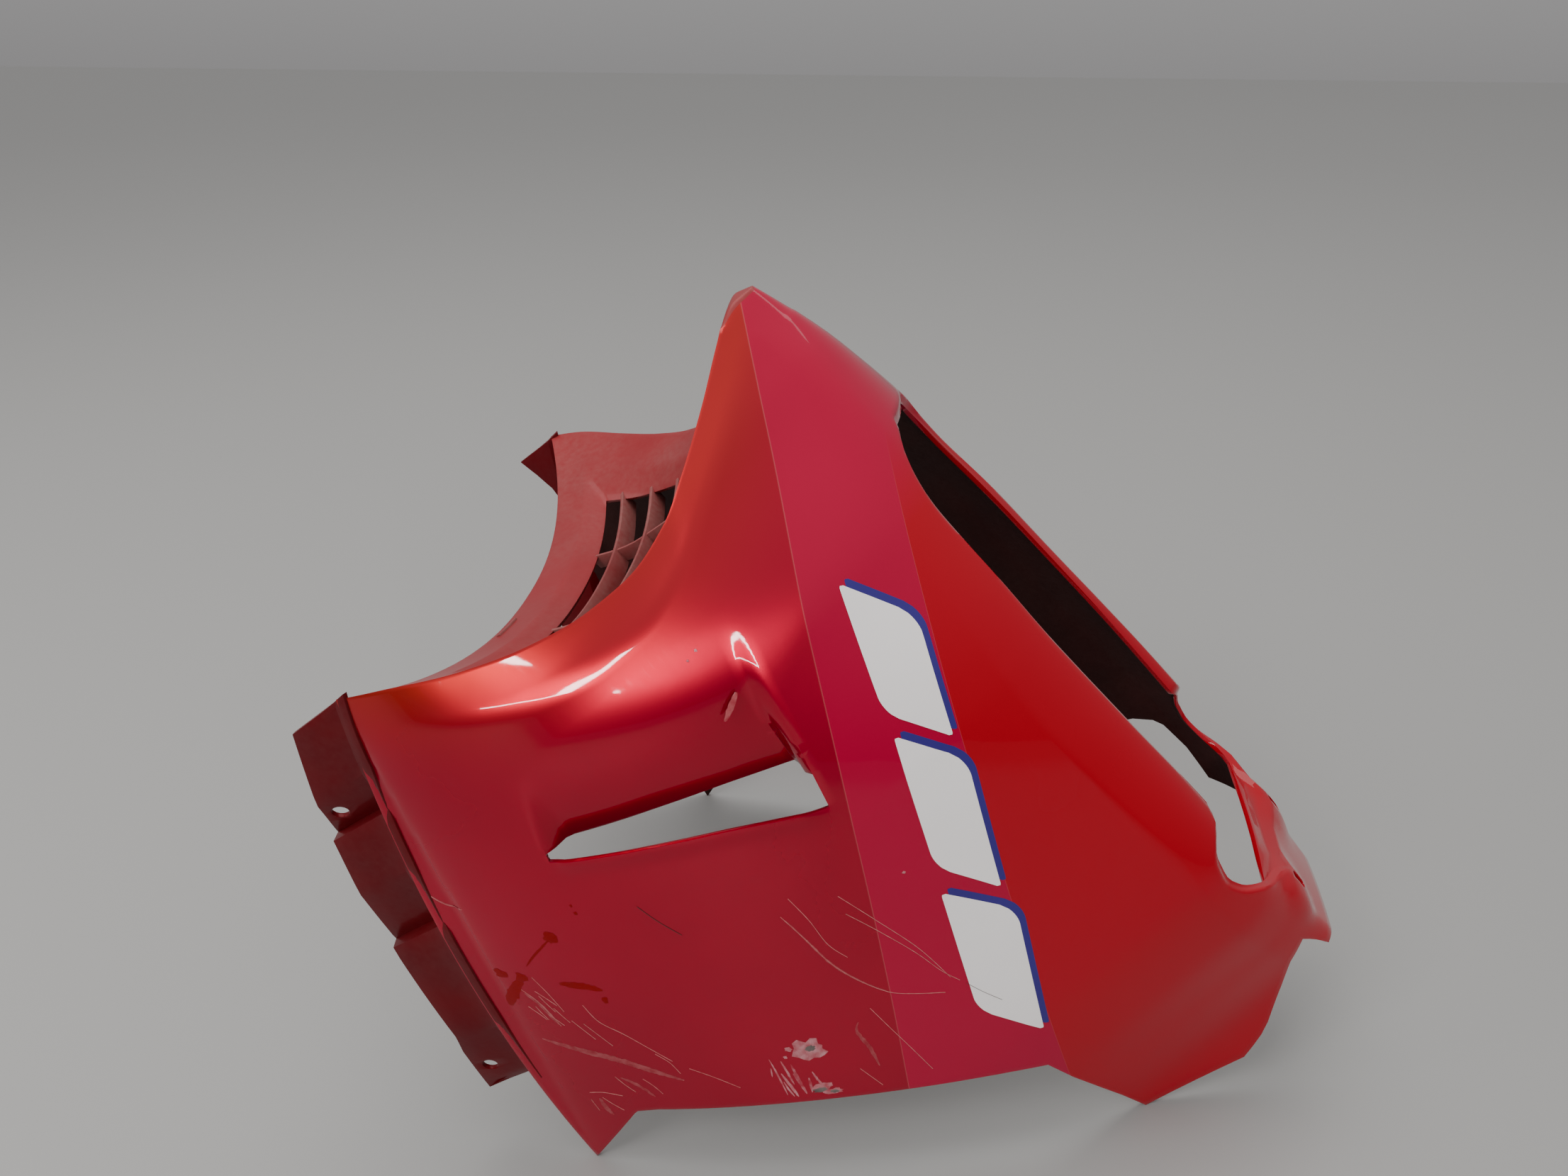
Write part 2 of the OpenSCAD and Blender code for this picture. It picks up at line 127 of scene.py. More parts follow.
class Table:
    """A curve through given knots, straight or smoothly rounded between them."""

    def __init__(self, knots: Knots, smooth: bool = True) -> None:
        """Stores the knots and, if asked, works out the slopes.

        Args:
            knots: Pairs of place and value, in rising order of place.
            smooth: True for a curve with no overshoot, False for straight pieces.
        """
        self.x = [float(k[0]) for k in knots]
        self.y = [float(k[1]) for k in knots]
        self.smooth = smooth
        n = len(knots)
        gap = [self.x[i + 1] - self.x[i] for i in range(n - 1)]
        rise = [(self.y[i + 1] - self.y[i]) / gap[i] for i in range(n - 1)]
        self.slope = [0.0] * n
        for i in range(1, n - 1):
            if rise[i - 1] * rise[i] > 0:
                a, b = 2 * gap[i] + gap[i - 1], gap[i] + 2 * gap[i - 1]
                self.slope[i] = (a + b) / (a / rise[i - 1] + b / rise[i])
        self.slope[0], self.slope[-1] = rise[0], rise[-1]

    def __call__(self, x: float) -> float:
        """Value of the curve at a place.

        Args:
            x: The place.

        Returns:
            The value there, held flat beyond the ends.
        """
        if x <= self.x[0]:
            return self.y[0]
        if x >= self.x[-1]:
            return self.y[-1]
        i = 0
        while x > self.x[i + 1]:
            i += 1
        h = self.x[i + 1] - self.x[i]
        t = (x - self.x[i]) / h
        if not self.smooth:
            return along(self.y[i], self.y[i + 1], t)
        a, b = self.slope[i] * h, self.slope[i + 1] * h
        u = 1 - t
        return (
            self.y[i] * (1 + 2 * t) * u * u
            + a * t * u * u
            + self.y[i + 1] * t * t * (3 - 2 * t)
            - b * t * t * u
        )


@dataclass(frozen=True)
class Sizes:
    """Sizes in millimetres, shares from 0 to 1 and the stand's angle.

    The main ones are those of the CAD source. The rest shape what only the scene draws.
    """

    body_l: float = 566.0
    half_w: float = 190.0
    front_h: float = 262.0
    rear_h: float = 416.0
    rear_top_l: float = 320.0
    wall: float = 3.0
    front_lead: float = 8.0
    arch_depth: float = 66.0
    arch_hollow: float = 55.0
    bevel_depth: float = 8.0
    cheek_h: float = 8.0
    cheek_flat: float = 17.0
    cheek_turn: float = 14.0
    lug_h: float = 8.0
    lug_w: float = 26.0
    lug_y: float = 47.0
    blade_drop: float = 44.0
    blade_pitch: float = 25.0
    blade_count: int = 4
    blade_t: float = 3.0
    blade_depth: float = 20.0
    rib_y: float = 52.0
    bow_h: float = 80.0
    bow_from: float = 0.72
    front_full: float = 1.25
    front_full_x: float = -60.0
    front_full_l: float = 90.0
    rear_full: float = 0.35
    rear_full_x: float = -250.0
    rear_full_l: float = 320.0
    cheek_fade_from: float = 120.0
    cheek_fade_l: float = 300.0
    slot_half: float = 87.0
    slot_front_x: float = -113.0
    slot_rear_x: float = -499.0
    strap_hole_d: float = 6.0
    strap_hole_l: float = 14.0
    strap_hole_x: float = 514.0
    strap_hole_y: float = 40.0
    rim_turn: float = 5.0
    rim_reach: float = 7.0
    pad_h: float = 6.0
    pad_l: float = 30.0
    pad_w: float = 24.0
    vent_low_depth: float = 24.0
    vent_high_depth: float = 14.0
    vent_lip: float = 2.2
    vent_low_end: float = 0.09
    vent_high_end: float = 0.07
    vent_lip_reach: float = 0.035
    vent_lip_end: float = 0.1
    vent_high: float = 0.697
    vent_low: float = 0.262
    flange_h: float = 42.0
    tab_fold: float = 10.0
    flange_step: float = 4.0
    flange_lean: float = 6.0
    flange_hole_d: float = 10.0
    side_hole_d: float = 5.0
    side_hole: Place = (-342.0, 254.0)
    stand_a: float = 226.355
    shift_x: float = 83.0633
    shift_z: float = -518.68


# Curves over a row's share of the height, from the keel at 0 to the top edge at 1
RIDGE_X: Knots = [
    (0, 0.09), (0.04, 0.10), (0.12, 0.24), (0.2, 0.49), (0.28, 0.76), (0.34, 0.92), (0.42, 1),
    (0.5, 0.95), (0.6, 0.79), (0.72, 0.53), (0.86, 0.21), (1, 0),
]  # fmt: skip
RIDGE_Z: Knots = [
    (0, 0.045), (0.04, 0.062), (0.12, 0.115), (0.2, 0.2), (0.28, 0.305), (0.34, 0.38),
    (0.42, 0.475), (0.5, 0.57), (0.6, 0.68), (0.72, 0.795), (0.86, 0.91), (1, 1),
]  # fmt: skip
REAR_X: Knots = [
    (0, 0.963), (0.04, 0.99), (0.08, 1.03), (0.11, 1.044), (0.16, 1), (0.2, 0.83), (0.27, 0.776),
    (0.72, 0.553), (0.78, 0.54), (1, 0.5654),
]  # fmt: skip
REAR_Z: Knots = [
    (0, 0.055), (0.04, 0.1), (0.08, 0.168), (0.11, 0.221), (0.16, 0.38), (0.2, 0.4), (0.27, 0.483),
    (0.72, 0.842), (0.78, 0.87), (1, 1),
]  # fmt: skip
# Curves over the distance behind the nose, in millimetres
CHINE_Y: Knots = [
    (-10, 6), (0, 8), (20, 15), (50, 28), (110, 50), (160, 64), (230, 79), (330, 91), (430, 97),
    (480, 89), (520, 74), (566, 58), (610, 54),
]  # fmt: skip
CHINE_Z: Knots = [(0, 7), (20, 4), (50, -1), (110, -5), (420, -5), (500, 0), (610, 2)]
KEEL_Z: Knots = [(0, -1), (20, -7), (62, -15), (120, -19), (300, -14), (480, -6), (566, -1)]
FILLET: Knots = [(0, 4), (50, 8), (200, 22), (300, 28), (560, 24)]
RIM: Knots = [
    (0, 0.03), (60, 0.14), (105, 0.19), (113, 0.25), (120, 0.36), (138, 0.49), (160, 0.57),
    (203, 0.63), (267, 0.7), (336, 0.72), (408, 0.69), (416, 0.78), (424, 0.91), (434, 0.985),
    (446, 1), (460, 0.95), (476, 0.81), (490, 0.6), (499, 0.41), (520, 0.39), (566, 0.34),
]  # fmt: skip
# Hollow of the arch over its height, and the strap's rear edge from wall to middle
ARCH_MID: Knots = [
    (0, 0.02), (0.05, 0.07), (0.19, 0.62), (0.38, 1.16), (0.57, 1.51), (0.76, 1.45), (1, 1),
]  # fmt: skip
STRAP_REAR: Knots = [(0, -545), (0.25, -540), (0.5, -566), (1, -566)]
STRAP_FROM = 0.78
# Distances behind the nose of the scoop's start and of the vent's front and rear edges,
# each at the keel, at the vent's low and high end, and at the top edge
KEY_LINES = [(113, 108, 84, 66), (243, 211, 135, 92), (262, 229, 138, 96)]
# Flange stations: X, height as a share, fold from 0 to 1
FLANGE = [
    (10, 0.98, 0), (-28, 1.07, 0), (-51, 1.12, 1), (-51.5, 1.05, 0), (-84, 1.04, 0), (-124, 1.05, 1),
    (-124.5, 0.96, 0), (-193, 0.83, 0), (-206, 0.95, 0.3), (-241, 1.1, 1), (-244, 0.14, 1),
]  # fmt: skip
FLANGE_LEFT = [(10, 0.85, 0), (-6, 0.54, 0), (-22, 0.26, 0), (-36, 0.1, 0), (-64, 0.1, 0)] + FLANGE[4:]
# Flange holes: X, height over the top edge, number of their station
FLANGE_HOLES = [(-38.5, 35, 1), (-225.5, 31, 8)]
# Outline of the lost rear of the left wall in the side view
LEFT_CUT = [
    (-441, 203), (-428, 160), (-424, 110), (-430, 65), (-435, 45), (-443, 33), (-450, 29),
    (-473, 26), (-500, 27), (-507, 19), (-519, 7), (-532, 3), (-700, 3), (-700, 300), (-480, 230),
]  # fmt: skip
LEFT_CUT_Y, LEFT_CUT_DEPTH = 47.0, 200.0
# Corners of the decal blocks in the side view, in order round each block
DECAL_BLOCKS = [
    [(-142.0, 51.3), (-187.0, 32.5), (-251.8, 60.4), (-212.3, 78.0)],
    [(-225.8, 82.5), (-267.0, 63.5), (-344.2, 101.4), (-304.0, 118.2)],
    [(-319.2, 126.8), (-362.0, 104.5), (-443.7, 148.8), (-399.3, 165.4)],
]
# Spots on the right wall: X, Z, radius, width as a share of length, turn in radians
CHIPS = [
    (-343.0, 250.3, 11.0, 0.82, 0.6), (-371.0, 265.5, 7.5, 0.5, 0.95), (-378.5, 263.0, 6.0, 0.45, 0.8),
    (-110.3, 123.0, 1.1, 0.8, 0.4), (-111.1, 129.1, 0.9, 0.8, 0.4), (-292.3, 131.7, 1.2, 0.8, 0.4),
    (-336.5, 264.0, 1.4, 0.8, 0.4), (-333.0, 258.5, 2.6, 0.8, 0.4),
]  # fmt: skip
BARE = [(-342.3, 249.2, 4.2, 0.7, 0.9), (-371.5, 267.5, 5.0, 0.5, 0.95), (-379.0, 262.5, 3.6, 0.45, 0.8)]
# Strokes on the right wall: places of the middle line, full width
CHIP_STROKES = [
    ([(-330.3, 271.8), (-342.3, 276.4), (-360.0, 284.0)], 1.1),
    ([(-336.6, 268.1), (-344.9, 271.0), (-356.7, 275.4)], 1.5),
    ([(-344.1, 274.7), (-357.1, 278.0), (-366.0, 280.5)], 1.9),
    ([(-342.8, 265.7), (-353.1, 269.7), (-360.4, 272.1)], 1.7),
    ([(-349.6, 269.8), (-359.8, 272.6), (-368.0, 275.4)], 2.2),
    ([(-359.1, 265.9), (-364.2, 268.8), (-369.5, 272.4)], 1.8),
    ([(-357.0, 261.1), (-364.0, 263.1), (-371.5, 264.3)], 1.6),
    ([(-336.3, 275.9), (-342.2, 280.2)], 0.9),
    ([(-350.2, 278.2), (-357.5, 280.6), (-364.0, 282.0)], 1.2),
]  # fmt: skip
TOUCHED = [
    (-174.6, 294.8, 5.2, 0.85, 0.2), (-174.8, 341.0, 4.8, 0.7, 0.5), (-184.2, 332.6, 4.6, 0.9, 0.3),
    (-228.1, 306.6, 3.2, 0.6, -0.5), (-172.1, 270.6, 1.7, 0.7, 0.1), (-166.5, 268.5, 1.2, 0.7, 0.1),
]  # fmt: skip
DRIPS = [
    ([(-174.6, 295.0), (-177.2, 312.3), (-180.1, 322.7)], 1.9),
    ([(-184.6, 333.0), (-189.6, 347.0), (-196.0, 358.0)], 9.0),
    ([(-201.5, 317.5), (-205.4, 314.0), (-213.3, 307.3), (-222.0, 302.0)], 5.6),
]  # fmt: skip
SCUFFS = [
    ([(-226.0, 362.0), (-242.3, 352.2), (-267.1, 337.2), (-284.7, 329.2), (-306.0, 319.6)], 4.6),
    ([(-349.7, 217.1), (-354.3, 222.3), (-369.7, 225.6), (-384.8, 231.0)], 2.6),
    ([(-262.7, 195.3), (-281.4, 196.8), (-305.4, 198.7), (-328.0, 196.2), (-347.4, 190.6)], 1.5),
    ([(-109.0, 329.9), (-119.4, 327.3), (-128.2, 320.8)], 1.8),
    ([(-142.0, 122.0), (-145.7, 128.2), (-149.0, 136.0)], 4.0),
    ([(-194.0, 341.0), (-204.7, 340.2), (-224.0, 343.4)], 3.0),
    ([(-283.0, 372.0), (-291.0, 375.0), (-299.0, 376.0)], 3.4),
    ([(-278.5, 347.5), (-290.0, 344.0), (-304.0, 343.0)], 2.4),
]  # fmt: skip
# Places that each scratch passes in the side view
LONG_SCRATCHES = [
    [(-274.1, 165.6), (-303.5, 162.4), (-337.4, 159.3), (-368.0, 160.4)],
    [(-286.4, 170.6), (-308.5, 166.6), (-338.1, 162.4), (-359.8, 161.0), (-374.0, 158.2)],
    [(-258.8, 195.4), (-281.4, 196.8), (-305.4, 198.7), (-328.0, 196.2), (-347.4, 190.6),
     (-360.4, 181.6), (-374.0, 169.5)],
    [(-253.1, 184.5), (-273.1, 186.7), (-293.9, 190.9), (-309.4, 189.7)],
    [(-347.2, 205.7), (-370.1, 207.9), (-386.5, 209.3), (-412.2, 211.9)],
    [(-377.4, 240.3), (-397.9, 240.0)],
    [(-222.0, 319.8), (-237.6, 322.4), (-254.4, 318.6), (-272.0, 315.9), (-289.9, 313.3)],
    [(-301.2, 310.3), (-316.3, 304.9), (-334.5, 299.7)],
    [(-187.7, 327.1), (-202.5, 329.2), (-218.6, 332.7)],
    [(-190.6, 340.4), (-204.7, 339.5), (-225.7, 343.4)],
    [(-278.4, 316.6), (-289.6, 315.3), (-300.5, 317.1)],
    [(-275.8, 373.5), (-281.1, 366.0), (-290.5, 358.6)],
    [(-280.6, 377.5), (-290.8, 380.6)],
    [(-283.7, 370.0), (-291.7, 369.1), (-300.0, 367.5)],
    [(-275.8, 349.7), (-285.7, 350.0), (-293.3, 349.4)],
    [(-288.1, 337.7), (-296.6, 337.0), (-305.4, 337.7)],
    [(-109.0, 329.9), (-119.4, 327.3), (-128.2, 320.8)],
]  # fmt: skip
DARK_SCRATCHES = [
    [(-378.8, 156.9), (-391.0, 154.6), (-405.1, 150.9)],
    [(-193.4, 243.4), (-209.5, 242.7), (-225.7, 240.4)],
]
# Rows where the louvred opening's upper bevel, upper edge, lower edge and lower bevel lie
GRILLE = (0.873, 0.823, 0.455, 0.41)
GRILLE_SIDE, BEVEL_SIDE = 0.645, 0.755
TINY = 1e-6


class Shape:
    """Surfaces of the fairing in its own frame: X forward, Z up, the nose at the origin."""

    def __init__(self, sizes: Sizes) -> None:
        """Prepares the curves.

        Args:
            sizes: Real sizes of the fairing.
        """
        self.s = sizes
        self.t: Dict[str, Table] = {
            "ridge_x": Table(RIDGE_X), "ridge_z": Table(RIDGE_Z),
            "rear_x": Table(REAR_X, False), "rear_z": Table(REAR_Z, False),
            "chine_y": Table(CHINE_Y), "chine_z": Table(CHINE_Z), "keel_z": Table(KEEL_Z),
            "fillet": Table(FILLET), "rim": Table(RIM), "arch": Table(ARCH_MID),
            "strap": Table(STRAP_REAR, False),
            "ridge_row": Table([(z[1], z[0]) for z in RIDGE_Z]),
        }  # fmt: skip
        rows = (0.0, sizes.vent_low, sizes.vent_high, 1.0)
        self.key_lines = [Table(list(zip(rows, line)), False) for line in KEY_LINES]

    def ridge(self, v: float) -> Place:
        """Front end of a row, as X and Z."""
        s = self.s
        return s.front_lead - s.arch_depth * self.t["ridge_x"](v), s.front_h * self.t["ridge_z"](v)

    def rear(self, v: float) -> Place:
        """Rear end of a row, as X and Z."""
        s = self.s
        return -s.body_l * self.t["rear_x"](v), s.rear_h * self.t["rear_z"](v)

    def key_x(self, v: float, k: int) -> float:
        """Where key line k crosses a row: ridge, scoop, slot edge, lip, rear edge."""
        if k == 0:
            return self.ridge(v)[0]
        if k > len(self.key_lines):
            return self.rear(v)[0]
        return -self.key_lines[k - 1](v)

    def col_x(self, v: float, c: Tuple[int, float]) -> float:
        """X of a column on a row."""
        return along(self.key_x(v, c[0]), self.key_x(v, c[0] + 1), c[1])

    def row_z(self, v: float, x: float) -> float:
        """Height of a row at X."""
        s, front, back = self.s, self.ridge(v), self.rear(v)
        f = (front[0] - x) / (front[0] - back[0])
        bow = max(0.0, (v - s.bow_from) / (1 - s.bow_from))
        return along(front[1], back[1], f) + s.bow_h * f * (1 - f) * bow

    def row_of(self, x: float, z: float) -> float:
        """Row that passes through a point of the side view."""
        low, high = 0.0, 1.0
        for _ in range(26):
            mid = (low + high) / 2
            if self.row_z(mid, x) < z:
                low = mid
            else:
                high = mid
        return (low + high) / 2

    def chine(self, x: float) -> float:
        """Half width of the chine."""
        return self.t["chine_y"](-x)

    def wall_y(self, x: float, z: float, d: float) -> float:
        """Half width of the wall at X and Z.

        Args:
            x: Place along the fairing.
            z: Height.
            d: Distance behind the front ridge.

        Returns:
            Half width in millimetres.
        """
        s = self.s
        top = s.front_h + (s.front_lead - x) * (s.rear_h - s.front_h) / (s.front_lead + s.rear_top_l + 2)
        t = clamp(z / top, 0, 1)
        k = self.chine(x)
        if x > s.front_full_x - s.front_full_l:
            full = along(s.front_full, 1, ease((s.front_full_x - x) / s.front_full_l))
        else:
            full = 1 + s.rear_full * clamp((s.rear_full_x - x) / s.rear_full_l, 0, 1)
        turn = clamp(d - s.cheek_flat, 0, s.cheek_turn)
        reach = min(max(d, 0.0), s.cheek_flat) + turn - turn * turn / (2 * s.cheek_turn)
        fade = 1 - clamp((d - s.cheek_fade_from) / s.cheek_fade_l, 0, 1)
        cheek = s.cheek_h * reach / (s.cheek_flat + s.cheek_turn / 2) * fade
        bulge = cheek * math.sqrt(max(0.0, math.sin(math.pi * t)))
        return k + (s.half_w - k) * math.sin(math.pi / 2 * t) ** full + bulge

    def wall_at(self, x: float, z: float) -> float:
        """Half width of the wall at a point of the side view."""
        return self.wall_y(x, z, self.ridge(self.row_of(x, z))[0] - x)

    def rim(self, x: float) -> float:
        """Half width of the keel slot."""
        return self.s.slot_half * self.t["rim"](-x)

    def keel_z(self, x: float, y: float) -> float:
        """Height of the keel."""
        q = y / self.chine(x)
        return along(self.t["keel_z"](-x), self.t["chine_z"](-x), q * q)

    def foot(self, x: float) -> Place:
        """Half width and height where the wall meets the rounding of the chine."""
        z = self.t["chine_z"](-x) + self.t["fillet"](-x)
        return self.wall_y(x, z, self.ridge(0)[0] - x), z

    def bottom_z(self, x: float, y: float) -> float:
        """Height of the underside with its rounded chine."""
        b, z = self.foot(x)
        a = self.chine(x) - self.t["fillet"](-x)
        return self.keel_z(x, y) + (z - self.keel_z(x, b)) * max(0.0, (y - a) / (b - a)) ** 2

    def pad(self, x: float, y: float) -> float:
        """Height of the raised pad round a strap hole."""
        s = self.s
        r = math.hypot((x + s.strap_hole_x) / s.pad_l, (y - s.strap_hole_y) / s.pad_w)
        return s.pad_h * (1 - r * r) ** 1.2 if r < 1 else 0.0

    def scoop(self, v: float, c: Tuple[int, float]) -> float:
        """Depth of the side scoop below the wall; negative on the lip."""
        s = self.s
        share = (v - s.vent_low) / (s.vent_high - s.vent_low)
        if share <= 0 or share >= 1 or c[0] == 0:
            return 0.0
        ends = ease(share / s.vent_low_end) * ease((1 - share) / s.vent_high_end)
        deep = along(s.vent_low_depth, s.vent_high_depth, share)
        if c[0] == 1:
            return deep * c[1] ** 2.0 * ends
        if c[0] == 2 and c[1] == 0:
            return deep * ends
        if c[0] == 3:
            behind = math.exp(-((c[1] / s.vent_lip_reach) ** 2)) if c[1] < s.vent_lip_end else 0.0
            return -s.vent_lip * behind * ends
        return -s.vent_lip * ends * c[1]

    def arch_mid_x(self, z: float) -> float:
        """X of the arch on the middle plane."""
        return self.s.front_lead - self.s.arch_hollow * self.t["arch"](z / self.s.front_h)

    def arch_x(self, rx: float, ry: float, y: float, z: float) -> float:
        """X of the arch between the middle plane and its ridge."""
        return along(self.arch_mid_x(z), rx, (abs(y) / max(ry, 0.001)) ** 2.2)

    def ridge_at(self, z: float) -> Place:
        """X and half width of the ridge at a height."""
        x = self.ridge(self.t["ridge_row"](z / self.s.front_h))[0]
        return x, self.wall_y(x, z, 0)

    def arch_at(self, z: float, y: float) -> float:
        """X of the arch at a height and a distance from the middle."""
        x, half = self.ridge_at(z)
        return self.arch_x(x, half, y, z)

    def top_z(self, x: float) -> float:
        """Height of the top edge."""
        return self.row_z(1, x)

    def on_wall(self, x: float, z: float, side: Side, lift: float) -> Point:
        """Point a little outside the wall.

        Args:
            x: Place along the fairing.
            z: Height.
            side: Which wall.
            lift: Distance above the surface, in millimetres.

        Returns:
            The point in the fairing's own frame.
        """
        y, step = self.wall_at(x, z), 2.0
        dx = self.wall_at(x + step, z) - y
        dz = self.wall_at(x, z + step) - y
        n = Vector((-dx / step, 1.0, -dz / step)).normalized()
        return x + n.x * lift, side.value * (y + n.y * lift), z + n.z * lift


class Stand:
    """Turns the fairing's own frame into the row frame, keel up, in metres."""

    def __init__(self, sizes: Sizes) -> None:
        """Works out the turn.

        Args:
            sizes: Real sizes, with the stand angle and shift.
        """
        a = math.radians(sizes.stand_a)
        self.c, self.n = math.cos(a), math.sin(a)
        self.sx, self.sz = sizes.shift_x, sizes.shift_z

    def point(self, p: Sequence[float]) -> Vector:
        """A point in millimetres as a row-frame point in metres."""
        x, y, z = p
        return Vector((x * self.c + z * self.n - self.sx, y, z * self.c - x * self.n - self.sz)) * MM

    def vector(self, p: Sequence[float]) -> Vector:
        """A direction in the row frame."""
        x, y, z = p
        return Vector((x * self.c + z * self.n, y, z * self.c - x * self.n))


@dataclass(frozen=True)
class Finish:
    """Numbers of one surface finish."""

    coat: Coat
    base: Colour
    second: Colour
    rough: float
    metal: float = 0.0
    clear: float = 0.0
    grain: float = 40.0
    contrast: float = 0.5
    bump: float = 0.02
    dust: Colour = (0.30, 0.24, 0.21)
    dusty: float = 0.0
    gleam: float = 0.5


FINISHES = [
    Finish(Coat.PAINT, (0.47, 0.000, 0.028), (0.31, 0.000, 0.018), 0.25, 0.60, 1.0, 7.0, bump=0.01,
           gleam=0.03),
    Finish(Coat.ARCH, (0.28, 0.004, 0.010), (0.19, 0.008, 0.012), 0.42, 0.15, 0.25, 12.0, bump=0.03,
           dusty=0.10, gleam=0.25),
    Finish(Coat.INSIDE, (0.024, 0.002, 0.002), (0.040, 0.006, 0.006), 0.55, grain=30.0, contrast=0.9,
           bump=0.06, dusty=0.03, gleam=0.2),
    Finish(Coat.FLANGE, (0.125, 0.000, 0.003), (0.080, 0.000, 0.004), 0.40, 0.15, 0.20, 22.0, 0.6, 0.04,
           dusty=0.035, gleam=0.08),
    Finish(Coat.LOUVRE, (0.18, 0.006, 0.010), (0.20, 0.035, 0.035), 0.50, 0.05, 0.15, 26.0, 0.8, 0.04,
           dusty=0.25, gleam=0.3),
    Finish(Coat.DECAL_LIGHT, (0.93, 0.90, 0.90), (0.86, 0.82, 0.82), 0.30, 0.0, 0.5, 20.0, 0.4, 0.01),
    Finish(Coat.DECAL_EDGE, (0.034, 0.020, 0.21), (0.026, 0.015, 0.16), 0.30, 0.0, 0.5, 30.0, 0.4, 0.01,
           gleam=0.2),
    Finish(Coat.SCRATCH, (0.60, 0.27, 0.25), (0.38, 0.10, 0.10), 0.7, 0.0, 0.0, 300.0, 0.9, 0.05, gleam=0.2),
    Finish(Coat.CHIP, (0.56, 0.26, 0.28), (0.34, 0.03, 0.05), 0.65, 0.0, 0.0, 140.0, 1.2, 0.15, gleam=0.2),
    Finish(Coat.TOUCH_UP, (0.24, 0.000, 0.002), (0.19, 0.000, 0.002), 0.55, 0.0, 0.2, 60.0, 0.6, 0.05,
           gleam=0.1),
    Finish(Coat.SCUFF, (0.40, 0.085, 0.095), (0.30, 0.020, 0.034), 0.45, 0.3, 0.2, 220.0, 1.2, 0.08,
           gleam=0.2),
    Finish(Coat.CORE, (0.19, 0.17, 0.15), (0.10, 0.07, 0.07), 0.75, 0.0, 0.0, 160.0, 1.0, 0.12, gleam=0.2),
    Finish(Coat.GRIME, (0.050, 0.040, 0.036), (0.11, 0.050, 0.045), 0.8, 0.0, 0.0, 160.0, 1.0, 0.12,
           gleam=0.2),
]  # fmt: skip
# Painted highlight: copper-orange glow along the front ridge, where the paint catches the light
PAINTED_RIDGE_GLOW: Colour = (0.44, 0.022, 0.013)
FILM_RED: Tuple[Colour, Colour] = ((0.39, 0.000, 0.036), (0.34, 0.000, 0.027))
REAR_RED: Colour = (0.36, 0.000, 0.010)
FILM_EDGE: Colour = (0.55, 0.16, 0.15)


@dataclass(frozen=True)
class FilmLines:
    """Margins of the decal film on the walls, in metres of the fairing's own frame."""

    lead: float = 0.008
    slope: float = 0.485
    rise: float = 0.011
    bend: float = 0.27
    bend_end: float = 0.190
    low_slope: float = 0.455
    low_rise: float = -0.0586
    fade: float = 22.0
    fade_from: float = -2.3
    crisp: float = 6000.0
    edge_thin: float = 1800.0
    low_edge_thin: float = 2200.0
    low_edge_share: float = 0.6
    edge_show: float = 0.35


@dataclass(frozen=True)
class Pattern:
    """Numbers of the patterns that the finishes share."""

    cloud_gain: float = 2.4
    rough_spread: float = 0.12
    rough_drop: float = 0.05
    dust_broad: float = 11.0
    dust_fine: float = 240.0
    dust_gain: float = 2.6
    dust_cut: float = -0.75
    dust_rough: float = 0.35
    haze: float = 6.0
    brush: float = 55.0
    brush_stretch: Point = (1.0, 1.0, 14.0)
    brush_turn: float = 0.45
    brush_gain: float = 3.0
    brush_cut: float = -1.2
    brush_rough: float = 0.08
    coat_least_rough: float = 0.02
    coat_rough: float = 0.12
    coat_ior: float = 1.34
    lacquer_from: float = 0.8
    bump_fine: float = 9.0
    bump_gain: float = 6.0
    bump_reach: float = 0.6 * MM


@dataclass(frozen=True)
class PaintedRidgeGlow:
    """Painted copper highlight along the front ridge, where the paint catches the light, in metres of the
    fairing's own frame.
    """

    height_scale: float = 7.7
    height_shift: float = -0.985
    depth: float = 0.066
    shift: float = -0.058
    falloff: float = 11.5
    power: float = 2.2
    cloud: float = 0.3


